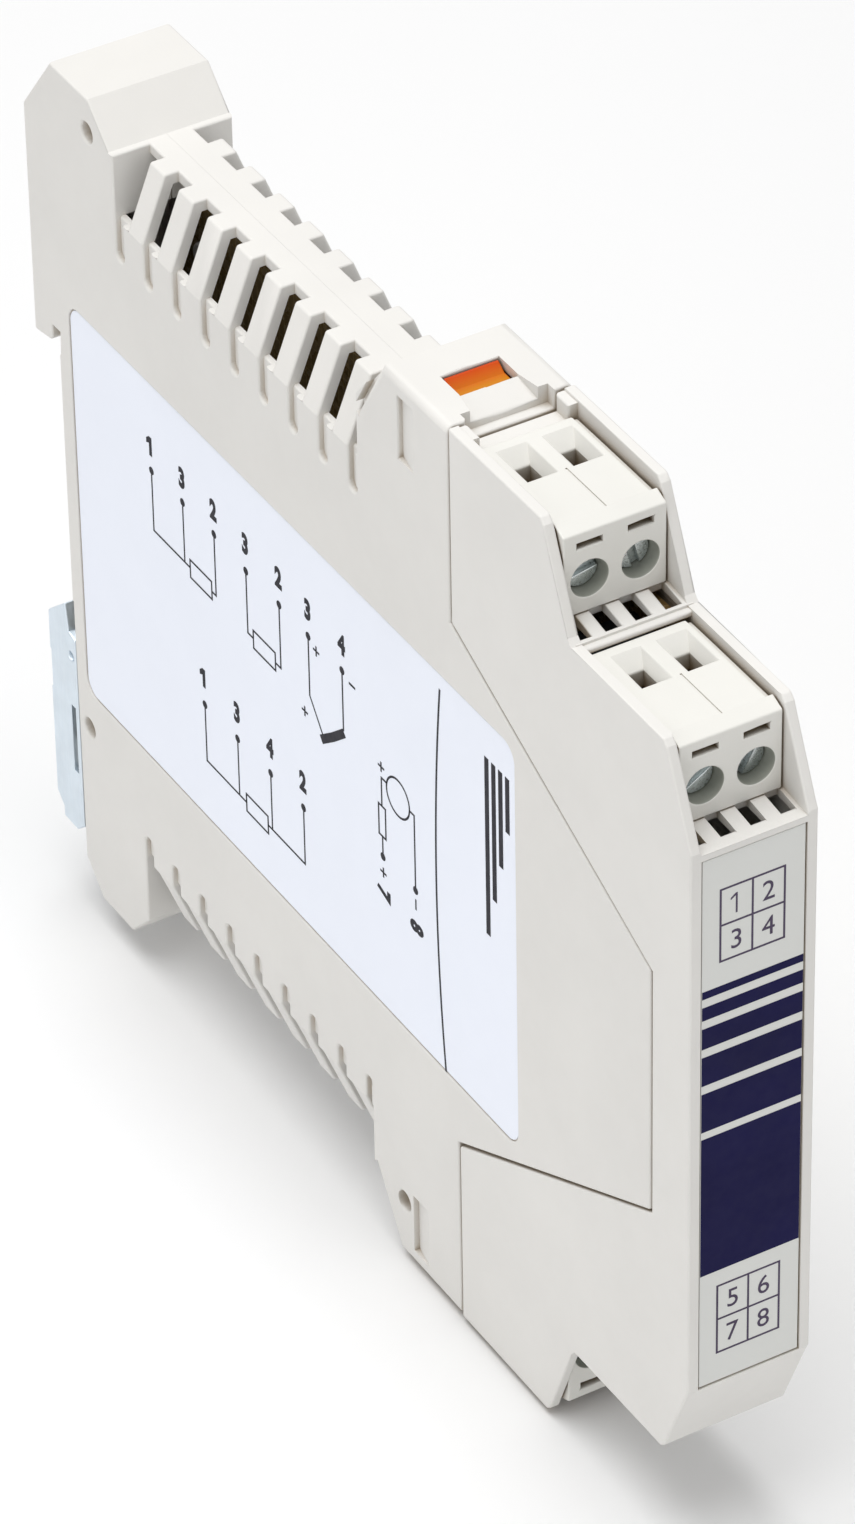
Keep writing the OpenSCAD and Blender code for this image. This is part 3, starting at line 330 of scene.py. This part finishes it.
# Which sharp edges are rounded, and by how much
ROUND_SEGMENTS = 2
PINCH_ANGLE = math.radians(40)
SHORT_WIDTHS = 5
STRAIGHT_SHARE = 0.8
ROOM_SHARE = 0.42
LEAST_SHARE = 0.35

# Where two mouldings meet: a closed seam on the block, a sharp shoulder, and softly broken edges
MEETING_REACH = 0.12 * MM
SEAM_X = -0.25
SEAM_REACH = 0.02 * MM
BLOCK_BACK_Y = -56
SHOULDER_FRONT_Y = -60.4
SHOULDER_BACK_Y = -55.5
UPRIGHT = 0.95
UPRIGHT_SHARE = 0.7
PARTING_SHARE = 0.12

# What a rounding may not do
ROUNDING_TRIES = 12
DEEPEST_SHARE = 0.5
STANDS_OUT = 0.015 * MM
TURNED_OVER = -0.2
SPECK_AREA = 1e-4 * MM * MM


def pinched(edge, inward, width):
    """Whether a sharp edge is short, or narrow, where it ends at an inward corner."""
    for vert in edge.verts:
        along = edge.other_vert(vert).co - vert.co
        for other in vert.link_edges:
            if other in inward:
                side = other.other_vert(vert).co - vert.co
                acute = set(other.link_faces) & set(edge.link_faces) and along.angle(side) < PINCH_ANGLE
                if acute or edge.calc_length() < SHORT_WIDTHS * width:
                    return True
    return False


def room_beside(edge, sharp, width):
    """How far a rounding can reach from an edge before it meets the edges beside it."""
    room = width
    for vert in edge.verts:
        out = (vert.co - edge.other_vert(vert).co).normalized()
        for other in vert.link_edges:
            if other is edge or not set(other.link_faces) & set(edge.link_faces):
                continue
            side = other.other_vert(vert).co - vert.co
            runs_on = other in sharp and side.dot(out) > STRAIGHT_SHARE * side.length
            if not runs_on:
                room = min(room, ROOM_SHARE * side.cross(out).length)
    return room


def edge_widths(bm, width):
    """For each sharp outward edge, the share of the full width that fits beside its neighbours."""
    bent = [e for e in bm.edges if len(e.link_faces) == 2 and e.calc_face_angle(0) > SHARP_ANGLE]
    sharp = {e for e in bent if e.is_convex}
    inward = {e for e in bent if not e.is_convex}
    shares = {}
    for edge in sharp:
        if not pinched(edge, inward, width):
            room = room_beside(edge, sharp, width)
            shares[edge] = room / width if room > LEAST_SHARE * width else 0.0
    return shares


def parting_share(edge, others):
    """Where two mouldings meet, their edges are only just broken, and the seam on the block is closed."""
    middle = (edge.verts[0].co + edge.verts[1].co) / 2
    if not any(other.find_nearest(middle, MEETING_REACH)[0] for other in others):
        return 1.0
    if abs(middle.x - SEAM_X * MM) < SEAM_REACH and middle.y < BLOCK_BACK_Y * MM:
        return 0.0
    along = (edge.verts[0].co - edge.verts[1].co).normalized()
    return UPRIGHT_SHARE if abs(along.z) > UPRIGHT else PARTING_SHARE


def on_shoulder(edge):
    """Whether an edge lies at the shoulder beside the cover's wings, where the parts meet sharply."""
    return all(SHOULDER_FRONT_Y < vert.co.y / MM < SHOULDER_BACK_Y for vert in edge.verts)


def rounded(bm, width):
    """A new mesh of the solid with its weighted edges rounded."""
    mesh = bpy.data.meshes.new("rounded")
    bm.to_mesh(mesh)
    obj = bpy.data.objects.new("rounded", mesh)
    bpy.context.scene.collection.objects.link(obj)
    mod = obj.modifiers.new("round_edges", "BEVEL")
    mod.width = width
    mod.segments = ROUND_SEGMENTS
    mod.limit_method = "WEIGHT"
    mod.use_clamp_overlap = False
    mod.harden_normals = True
    mod.miter_outer = "MITER_SHARP"
    mod.loop_slide = False
    deps = bpy.context.evaluated_depsgraph_get()
    done = bpy.data.meshes.new_from_object(obj.evaluated_get(deps))
    bpy.data.objects.remove(obj)
    bpy.data.meshes.remove(mesh)
    return done


def torn_places(surface, mesh, limit):
    """Where a rounded mesh goes too deep, stands out of the solid, or has a face that is turned over."""
    places = []
    for vert in mesh.vertices:
        spot, normal, _, far = surface.find_nearest(vert.co)
        if far > limit or (vert.co - spot).dot(normal) > STANDS_OUT:
            places.append(vert.co.copy())
    mesh.calc_loop_triangles()
    for face in mesh.loop_triangles:
        center = sum((mesh.vertices[index].co for index in face.vertices), Vector()) / 3
        spot, normal, _, _ = surface.find_nearest(center)
        flipped = normal.dot(face.normal) < TURNED_OVER and face.area > SPECK_AREA
        if flipped or (center - spot).dot(normal) > STANDS_OUT:
            places.append(center)
    return places


def clean_solid(node):
    """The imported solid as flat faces, without the triangles that its file is made of."""
    bm = bmesh.new()
    bm.from_mesh(NODES[node].data)
    bmesh.ops.remove_doubles(bm, verts=bm.verts, dist=WELD_REACH)
    bmesh.ops.dissolve_limit(bm, angle_limit=FLAT_ANGLE, verts=bm.verts, edges=bm.edges)
    bmesh.ops.dissolve_degenerate(bm, dist=SPECK_LENGTH, edges=bm.edges)
    return bm


SHELL_SURFACES = {}
for node in ("base_shell_left", "base_shell_right", "front_cover"):
    shell = clean_solid(node)
    SHELL_SURFACES[node] = BVHTree.FromBMesh(shell)
    shell.free()


def other_shells(node):
    """The surfaces of the mouldings that a moulding of the housing meets."""
    if node not in SHELL_SURFACES:
        return []
    return [surface for name, surface in SHELL_SURFACES.items() if name != node]


def refined(node, width):
    """A copy of a CAD solid with its outward edges rounded by width millimetres.

    Where the rounding tears, the edges of the nearest corners lose it, of more corners at each try.
    """
    bm = clean_solid(node)
    surface = BVHTree.FromBMesh(bm)
    others = other_shells(node)
    weight = bm.edges.layers.float.new("bevel_weight_edge")
    for edge, share in edge_widths(bm, width * MM).items():
        if not (others and on_shoulder(edge)):
            edge[weight] = min(share, parting_share(edge, others))
    bm.verts.ensure_lookup_table()
    corners = KDTree(len(bm.verts))
    for index, vert in enumerate(bm.verts):
        corners.insert(vert.co, index)
    corners.balance()
    for attempt in range(ROUNDING_TRIES):
        mesh = rounded(bm, width * MM)
        places = torn_places(surface, mesh, DEEPEST_SHARE * width * MM)
        if not places:
            break
        near = {found[1] for place in places for found in corners.find_n(place, 1 + attempt)}
        for edge in {edge for index in near for edge in bm.verts[index].link_edges}:
            edge[weight] = 0.0
    bm.free()
    mesh.name = node + "_fine"
    mesh.materials.clear()
    mesh.materials.append(look_of(node))
    obj = bpy.data.objects.new(node + "_fine", mesh)
    bpy.context.scene.collection.objects.link(obj)
    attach(obj, NODES[node]["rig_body"])
    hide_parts(node)
    return obj


# Rounding widths in millimetres
FINE = {
    "base_shell_left": 0.26, "base_shell_right": 0.26, "front_cover": 0.24, "rail_foot": 0.2,
    "latch_top": 0.12, "latch_bottom": 0.12, "plug_body_top_rear": 0.16, "plug_body_top_front": 0.16,
    "plug_body_bottom_rear": 0.16, "front_label": 0.05, "side_label": 0.03, "circuit_board": 0.05,
    **{f"terminal_screw_{number}": 0.1 for number in (1, 2, 3, 4, 7, 8)},
}
FINE_PIECES = {node: refined(node, width) for node, width in FINE.items()}


# Screw holes of the terminals, in millimetres; their walls take the dark painted shade
SCREW_X = 2.5
SCREW_Z = {"plug_body_top_rear": 42.9, "plug_body_top_front": 33, "plug_body_bottom_rear": -42.9}
BORE_REACH = 1.87
WALL_TILT = 0.6


def line_bores(obj, z, mat):
    """Gives the faces inside a terminal's two screw holes, which run along Y, the dark material of painted
    shade.
    """
    obj.data.materials.append(mat)
    for face in obj.data.polygons:
        for x in (-SCREW_X, SCREW_X):
            far = math.hypot(face.center.x / MM - x, face.center.z / MM - z)
            if far < BORE_REACH and abs(face.normal.y) < WALL_TILT:
                face.material_index = 1


# Painted shade on the walls of the screw holes
for node, z in SCREW_Z.items():
    line_bores(FINE_PIECES[node], z, bore_shade_mat)


def solid_piece(name, bm, mat, body):
    """A mesh of closed solids, drawn in millimetres, that rides on a body."""
    bmesh.ops.recalc_face_normals(bm, faces=bm.faces)
    mesh = bpy.data.meshes.new(name)
    bm.to_mesh(mesh)
    bm.free()
    mesh.transform(Matrix.Scale(MM, 4))
    mesh.materials.append(mat)
    obj = bpy.data.objects.new(name, mesh)
    bpy.context.scene.collection.objects.link(obj)
    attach(obj, body)
    return obj


# Foot spring, drawn in millimetres
SPRING_WIRE = 0.22
SPRING_TURNS = 9
WIRE_RINGS = 28
WIRE_SIDES = 10


def foot_spring():
    """Compression spring of one round wire."""
    low, high = (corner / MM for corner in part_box("foot_spring"))
    centre_y = (low.y + high.y) / 2
    radius = (high.x - low.x) / 2 - SPRING_WIRE
    climb = high.z - low.z - 2 * SPRING_WIRE
    sides = [math.tau * side / WIRE_SIDES for side in range(WIRE_SIDES)]
    bm = bmesh.new()
    rings = []
    for step in range(WIRE_RINGS * SPRING_TURNS + 1):
        turn = math.tau * step / WIRE_RINGS
        out = Vector((math.cos(turn), math.sin(turn), 0))
        height = low.z + SPRING_WIRE + climb * step / (WIRE_RINGS * SPRING_TURNS)
        centre = Vector((0, centre_y, height)) + radius * out
        offsets = [Vector((math.cos(a) * out.x, math.cos(a) * out.y, math.sin(a))) for a in sides]
        rings.append([bm.verts.new(centre + SPRING_WIRE * offset) for offset in offsets])
    for ring, after in zip(rings, rings[1:]):
        for side in range(WIRE_SIDES):
            there = (side + 1) % WIRE_SIDES
            bm.faces.new((ring[side], ring[there], after[there], after[side]))
    bm.faces.new(rings[0])
    bm.faces.new(rings[-1])
    for face in bm.faces:
        face.smooth = len(face.verts) == 4
    spring = solid_piece("foot_spring_wire", bm, spring_mat, "housing")
    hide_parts("foot_spring")
    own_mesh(spring)


foot_spring()


# Print on the labels: thin raised ink, drawn in the label's own plane as (across, up) in millimetres
SIDE_FACE_X = -6.1
FRONT_FACE_Y = -109.6
MITRE_LIMIT = 0.4
ARC_STEPS = 40
DOT_STRIPS = 8
DOT_RADIUS = 0.42
DOT_TIP = 0.02

# Heights of the ink; they differ where strokes cross, so that no two faces lie in one plane
INK = 0.018
INK_LOWEST = INK * 0.8
INK_LOWER = INK * 0.9
INK_RAISED = INK * 1.1
INK_DOT = INK * 1.25


def on_side(u, v, h):
    """A point over the side label: u runs to the front, v up, and h out of the label."""
    return Vector((SIDE_FACE_X - h, -u, v))


def on_front(u, v, h):
    """A point over the front label: u runs to the right, v up, and h out of the label."""
    return Vector((u, FRONT_FACE_Y - h, v))


def prism(bm, place, left, right, height, closed=False):
    """A closed strip between two rows of points, raised by height over the label's face."""
    levels = ((left, 0), (left, height), (right, height), (right, 0))
    rows = [[bm.verts.new(place(*p, h)) for p in row] for row, h in levels]
    count = len(left)
    for i in range(count if closed else count - 1):
        j = (i + 1) % count
        for a in range(4):
            b = (a + 1) % 4
            bm.faces.new((rows[a][i], rows[a][j], rows[b][j], rows[b][i]))
    if not closed:
        for i in (0, count - 1):
            bm.faces.new([rows[a][i] for a in range(4)])


def line(bm, place, points, width, height=INK, closed=False):
    """A line of even width through the points, with mitred corners."""
    pts = [Vector(p) for p in points]
    count = len(pts)
    left, right = [], []
    for i, p in enumerate(pts):
        before = p - pts[i - 1] if closed or i > 0 else None
        after = pts[(i + 1) % count] - p if closed or i < count - 1 else None
        before = (before or after).normalized()
        after = (after or before).normalized()
        middle = (before + after).normalized()
        side = Vector((-middle.y, middle.x)) * (width / 2 / max(MITRE_LIMIT, middle.dot(before)))
        left.append(p + side)
        right.append(p - side)
    prism(bm, place, left, right, height, closed)


def arc(centre, radius, start, end):
    """Points along an arc, whose ends are given in degrees."""
    angles = [math.radians(start + (end - start) * i / ARC_STEPS) for i in range(ARC_STEPS + 1)]
    return [(centre[0] + radius * math.cos(a), centre[1] + radius * math.sin(a)) for a in angles]


def circle(bm, place, centre, radius, width):
    """A closed ring of even width."""
    line(bm, place, arc(centre, radius, 0, 360)[:-1], width, closed=True)


def dot(bm, place, centre):
    """A filled spot, as a row of strips between two half circles."""
    top, low = [], []
    for i in range(DOT_STRIPS + 1):
        a = math.pi * i / DOT_STRIPS
        x = centre[0] - DOT_RADIUS * math.cos(a)
        y = max(DOT_TIP, DOT_RADIUS * math.sin(a))
        top.append((x, centre[1] + y))
        low.append((x, centre[1] - y))
    prism(bm, place, top, low, INK_DOT)


def bar(bm, place, x, y, height=INK):
    """A filled box between two values across and two values up."""
    prism(bm, place, [(x[0], y[0]), (x[1], y[0])], [(x[0], y[1]), (x[1], y[1])], height)


def frame_box(bm, place, x, y, width):
    """The outline of a box between two values across and two values up."""
    line(bm, place, [(x[0], y[0]), (x[1], y[0]), (x[1], y[1]), (x[0], y[1])], width, closed=True)


# Numbers, in millimetres and in shares of their height; the flag's ends are shares of the stem
NUMBER_H = 2.1
LETTER_SHARE = 1.37
LETTER_STEPS = 4
LETTER_WELD = 0.0005
STEM_SHARE = 0.085
FLAG_SHARE = 0.24
FLAG_SLOPE = 0.8
FLAG_ROOT_SHARE = 1.5
FLAG_TIP_SHARE = 1.1


def turned(centre, angle, x, y):
    """The point (x, y), turned by an angle in degrees, and moved to the centre."""
    cos, sin = math.cos(math.radians(angle)), math.sin(math.radians(angle))
    return centre[0] + x * cos - y * sin, centre[1] + x * sin + y * cos


def figure_one(bm, place, centre, angle, stem):
    """The figure 1: an upright with a short flag, which the built-in letterforms lack."""
    flag = NUMBER_H * FLAG_SHARE
    half = stem / 2
    top = NUMBER_H / 2
    tip = top - flag * FLAG_SLOPE
    upright = ([(half, top), (half, top - flag), (half, -top)],
               [(-half, top), (-half, top - flag), (-half, -top)])
    slant = ([(-half, top), (-flag - half, tip)],
             [(-half, top - stem * FLAG_ROOT_SHARE), (-flag - half, tip - stem * FLAG_TIP_SHARE)])
    for left, right in (upright, slant):
        rows = [[turned(centre, angle, x, y) for x, y in row] for row in (left, right)]
        prism(bm, place, *rows, INK)


def numeral(bm, place, value, centre, angle=0, narrow=0.8, weight=0.0):
    """A plain number, centred on a point and turned about it.

    It is narrowed to a share of its width, and its strokes grow by weight on each side.
    """
    if value == 1:
        figure_one(bm, place, centre, angle, NUMBER_H * STEM_SHARE + weight * 2)
        return
    curve = bpy.data.curves.new("numeral", "FONT")
    curve.body = str(value)
    curve.align_x = "CENTER"
    curve.align_y = "CENTER"
    curve.size = NUMBER_H * LETTER_SHARE
    curve.offset = weight
    curve.extrude = INK / 2
    curve.resolution_u = LETTER_STEPS
    obj = bpy.data.objects.new("numeral", curve)
    bpy.context.scene.collection.objects.link(obj)
    mesh = bpy.data.meshes.new_from_object(obj.evaluated_get(bpy.context.evaluated_depsgraph_get()))
    low = [min(v.co[i] for v in mesh.vertices) for i in range(3)]
    high = [max(v.co[i] for v in mesh.vertices) for i in range(3)]
    for v in mesh.vertices:
        x = (v.co.x - (low[0] + high[0]) / 2) * narrow
        y = v.co.y - (low[1] + high[1]) / 2
        v.co = place(*turned(centre, angle, x, y), v.co.z - low[2])
    part = bmesh.new()
    part.from_mesh(mesh)
    bmesh.ops.remove_doubles(part, verts=part.verts, dist=LETTER_WELD)
    part.to_mesh(mesh)
    part.free()
    bm.from_mesh(mesh)
    bpy.data.objects.remove(obj)
    bpy.data.curves.remove(curve)
    bpy.data.meshes.remove(mesh)


# Side label: plain wiring figures
THIN = 0.22
BOLD = 0.16
RESISTOR_W = 4.0
RESISTOR_H = 2.0
SIGN_ARM = 0.55
RULE_WIDTH = 0.28
RULE_CENTRE = (267, -1)
RULE_RADIUS = 199.4
RULE_ANGLES = (180 - 6.2, 180 + 6.2)
STEPS_LEFT = 76.2
STEPS_TOP = 18.2
STEP_PITCH = 1.15
STEP_WIDTH = 0.7


def terminals(bm, places, number_z, dot_z):
    """The numbered terminals at the head of a wiring diagram."""
    for value, u in places:
        numeral(bm, on_side, value, (u, number_z), weight=BOLD)
        dot(bm, on_side, (u, dot_z))


def resistor(bm, u, v):
    """The outline of a resistor, centred on a point."""
    half_w, half_h = RESISTOR_W / 2, RESISTOR_H / 2
    frame_box(bm, on_side, (u - half_w, u + half_w), (v - half_h, v + half_h), THIN)


def plus_sign(bm, u, v):
    """Two crossed bars, centred on a point."""
    half = THIN / 2
    bar(bm, on_side, (u - SIGN_ARM, u + SIGN_ARM), (v - half, v + half))
    bar(bm, on_side, (u - half, u + half), (v - SIGN_ARM, v + SIGN_ARM), INK_RAISED)


def wire(bm, *points, height=INK):
    """A thin line through points on the side label."""
    line(bm, on_side, points, THIN, height)


def draw_sensors(bm):
    """Four ways to connect a sensor: three wires, two wires, a thermocouple and four wires."""
    terminals(bm, [(1, 17), (3, 22.8), (2, 28.6)], 15, 12.3)
    wire(bm, (17, 12.3), (17, 5.6), (23.8, 5.6))
    wire(bm, (22.8, 12.3), (22.8, 5.6), height=INK_LOWER)
    wire(bm, (28.6, 12.3), (28.6, 5.4), (27.8, 5.4))
    resistor(bm, 25.8, 5.5)

    terminals(bm, [(3, 34.4), (2, 40.4)], 14.8, 11.8)
    wire(bm, (34.4, 11.8), (34.4, 4.9), (35.4, 4.9))
    wire(bm, (40.4, 11.8), (40.4, 4.7), (39.4, 4.7))
    resistor(bm, 37.4, 4.8)

    terminals(bm, [(3, 45.6), (4, 51.6)], 14.5, 11.6)
    wire(bm, (45.6, 11.6), (45.6, 5), (48, 1.7))
    wire(bm, (51.6, 11.6), (51.6, 4.9))
    line(bm, on_side, [(47.5, 1.3), (49.6, 2.9), (51.7, 4.7)], 0.9, INK_RAISED)
    plus_sign(bm, 47, 10.8)
    plus_sign(bm, 44.6, 2.6)
    bar(bm, on_side, (52.8, 53.9), (10.9, 11.15))

    terminals(bm, [(1, 25.6), (3, 31.7), (4, 37.8), (2, 43.8)], -5.9, -8.9)
    wire(bm, (25.6, -8.9), (25.6, -15.4), (33, -15.4))
    wire(bm, (31.7, -8.9), (31.7, -15.4), height=INK_LOWER)
    wire(bm, (37.8, -8.9), (37.8, -15.4), height=INK_LOWER)
    wire(bm, (37, -15.4), (43.8, -15.4), (43.8, -8.9))
    resistor(bm, 35, -15.4)


def draw_loop(bm):
    """The output loop, with its source and its load."""
    circle(bm, on_side, (61.1, 3.6), 2, THIN)
    wire(bm, (59.2, 4), (58.2, 4), (58.2, 0.8))
    wire(bm, (58.2, -2.6), (58.2, -4.8))
    wire(bm, (63, 3.5), (63.9, 3.5), (63.9, -4.8))
    frame_box(bm, on_side, (57.6, 58.8), (-2.6, 0.8), THIN)
    dot(bm, on_side, (58.2, -4.9))
    dot(bm, on_side, (63.9, -4.9))
    plus_sign(bm, 58.2, 5.2)
    plus_sign(bm, 58.2, -6.7)
    bar(bm, on_side, (63.79, 64.01), (-7.1, -5.9))
    numeral(bm, on_side, 7, (58.2, -9.1), angle=-90, weight=BOLD)
    numeral(bm, on_side, 8, (64, -9.1), angle=-90, weight=BOLD)


def draw_rule(bm):
    """A slightly bowed rule, and a plain block of stepped bars in front of it."""
    line(bm, on_side, arc(RULE_CENTRE, RULE_RADIUS, *RULE_ANGLES), RULE_WIDTH)
    for i, length in enumerate((19.5, 15, 10.5, 6)):
        u = STEPS_LEFT + i * STEP_PITCH
        bar(bm, on_side, (u, u + STEP_WIDTH), (STEPS_TOP - length, STEPS_TOP))


side_print = bmesh.new()
draw_sensors(side_print)
draw_loop(side_print)
draw_rule(side_print)
solid_piece("side_label_print", side_print, ink_mat, "housing")


# Front label: two numbered grids, and between them a navy field that breaks up into bars
GRID_X = -0.1
GRID_LINE = 0.2
CELL_W = 3.15
CELL_H = 3.8
FIELD_X = (-5, 5)
FIELD_Z = (-16.8, -1.5)
FIELD_GAP = 0.9
FIRST_BAR_Z = -0.7
BAR_HEIGHTS = (4.2, 3.1, 2.2, 1.4, 0.8)


def draw_grid(bm, z, values):
    """A frame of two by two cells, with a number in each."""
    half = GRID_LINE / 2
    across = (GRID_X - CELL_W, GRID_X + CELL_W)
    upward = (z - CELL_H, z + CELL_H)
    frame_box(bm, on_front, across, upward, GRID_LINE)
    bar(bm, on_front, across, (z - half, z + half), INK_LOWER)
    bar(bm, on_front, (GRID_X - half, GRID_X + half), upward, INK_LOWEST)
    for i, value in enumerate(values):
        centre = (GRID_X + CELL_W * (i % 2 - 0.5), z + CELL_H * (0.5 - i // 2))
        numeral(bm, on_front, value, centre, narrow=0.95)


def draw_field(bm):
    """A filled field, and bars over it that get thinner towards the top."""
    bar(bm, on_front, FIELD_X, FIELD_Z)
    low = FIRST_BAR_Z
    for height in BAR_HEIGHTS:
        bar(bm, on_front, FIELD_X, (low, low + height))
        low += height + FIELD_GAP


grids = bmesh.new()
draw_grid(grids, 21, (1, 2, 3, 4))
draw_grid(grids, -22.4, (5, 6, 7, 8))
solid_piece("front_label_grids", grids, grid_mat, "housing")

field = bmesh.new()
draw_field(field)
solid_piece("front_label_field", field, navy_mat, "housing")


# Camera
CAMERA_PLACE = Vector((-0.2864, -0.5531, 0.4423))
CAMERA_AZIMUTH = math.radians(-29.94)
CAMERA_ELEVATION = math.radians(37.516)
CAMERA_ROLL = math.radians(-1.09)
SENSOR_WIDTH = 36
FOCAL_PIXELS = 8126.4
IMAGE_WIDTH = 855

back = Vector((math.sin(CAMERA_AZIMUTH) * math.cos(CAMERA_ELEVATION),
               -math.cos(CAMERA_AZIMUTH) * math.cos(CAMERA_ELEVATION), math.sin(CAMERA_ELEVATION)))
level_right = Vector((math.cos(CAMERA_AZIMUTH), math.sin(CAMERA_AZIMUTH), 0))
level_up = back.cross(level_right)
right = level_right * math.cos(CAMERA_ROLL) + level_up * math.sin(CAMERA_ROLL)
up = back.cross(right)
cam_data = bpy.data.cameras.new("camera")
cam_data.sensor_fit = "HORIZONTAL"
cam_data.sensor_width = SENSOR_WIDTH
cam_data.lens = SENSOR_WIDTH * FOCAL_PIXELS / IMAGE_WIDTH
cam_data.clip_start = 0.01
cam_data.clip_end = 20
camera = bpy.data.objects.new("camera", cam_data)
camera.matrix_world = Matrix.Translation(CAMERA_PLACE) @ Matrix((
    (right.x, up.x, back.x, 0), (right.y, up.y, back.y, 0), (right.z, up.z, back.z, 0), (0, 0, 0, 1)))
bpy.context.scene.collection.objects.link(camera)
bpy.context.scene.camera = camera


# Floor and light
FLOOR_Z = -0.0501
FLOOR_SIZE = 3
LIGHT_AIM = (0, -0.05, 0)
WORLD_LIGHT = 0.44
WORLD_SEEN = 0.9


def floor_material():
    """Matt white, with a faint change of tone."""
    mat, tree, bsdf = new_material("floor_white")
    tone = ramp(tree, noise(tree, 3), (0.85, 0.85, 0.85), (0.865, 0.865, 0.865))
    tree.links.new(tone, bsdf.inputs["Base Color"])
    bsdf.inputs["Roughness"].default_value = 0.9
    return mat


def add_floor():
    """The level plane that the object is shown over, which is no part of it."""
    bm = bmesh.new()
    bmesh.ops.create_grid(bm, x_segments=1, y_segments=1, size=FLOOR_SIZE)
    mesh = bpy.data.meshes.new("floor")
    bm.to_mesh(mesh)
    bm.free()
    mesh.materials.append(floor_material())
    floor = bpy.data.objects.new("floor", mesh)
    floor.location = (0, 0, FLOOR_Z)
    bpy.context.scene.collection.objects.link(floor)


def area_light(name, place, size, power):
    """A soft box at a place, turned to the object."""
    data = bpy.data.lights.new(name, "AREA")
    data.shape = "RECTANGLE"
    data.size, data.size_y = size
    data.energy = power
    lamp = bpy.data.objects.new(name, data)
    lamp.location = place
    lamp.rotation_euler = (Vector(LIGHT_AIM) - Vector(place)).to_track_quat("-Z", "Y").to_euler()
    bpy.context.scene.collection.objects.link(lamp)


def studio_world(light, seen):
    """A white surround that lights the object softly, and shows brighter than it lights."""
    world = bpy.data.worlds.new("studio")
    world.use_nodes = True
    tree = world.node_tree
    path = tree.nodes.new("ShaderNodeLightPath")
    direct = tree.nodes.new("ShaderNodeMath")
    direct.operation = "MAXIMUM"
    shown = tree.nodes.new("ShaderNodeMath")
    shown.operation = "MAXIMUM"
    strength = tree.nodes.new("ShaderNodeMapRange")
    strength.inputs["To Min"].default_value = light
    strength.inputs["To Max"].default_value = seen
    tree.links.new(path.outputs["Is Camera Ray"], direct.inputs[0])
    tree.links.new(path.outputs["Is Glossy Ray"], direct.inputs[1])
    tree.links.new(direct.outputs["Value"], shown.inputs[0])
    tree.links.new(path.outputs["Is Transmission Ray"], shown.inputs[1])
    tree.links.new(shown.outputs["Value"], strength.inputs["Value"])
    tree.links.new(strength.outputs["Result"], tree.nodes["Background"].inputs["Strength"])
    tree.nodes["Background"].inputs["Color"].default_value = (1, 1, 1, 1)
    return world


add_floor()
area_light("key_above", (-0.1, -0.02, 0.95), (0.9, 0.7), 8.3)
area_light("fill_left", (-0.9, -0.3, 0.25), (0.8, 0.8), 1.85)
area_light("fill_front", (0.35, -0.95, 0.2), (0.8, 0.8), 0.9)
bpy.context.scene.world = studio_world(WORLD_LIGHT, WORLD_SEEN)
bpy.context.scene.view_settings.view_transform = "Standard"
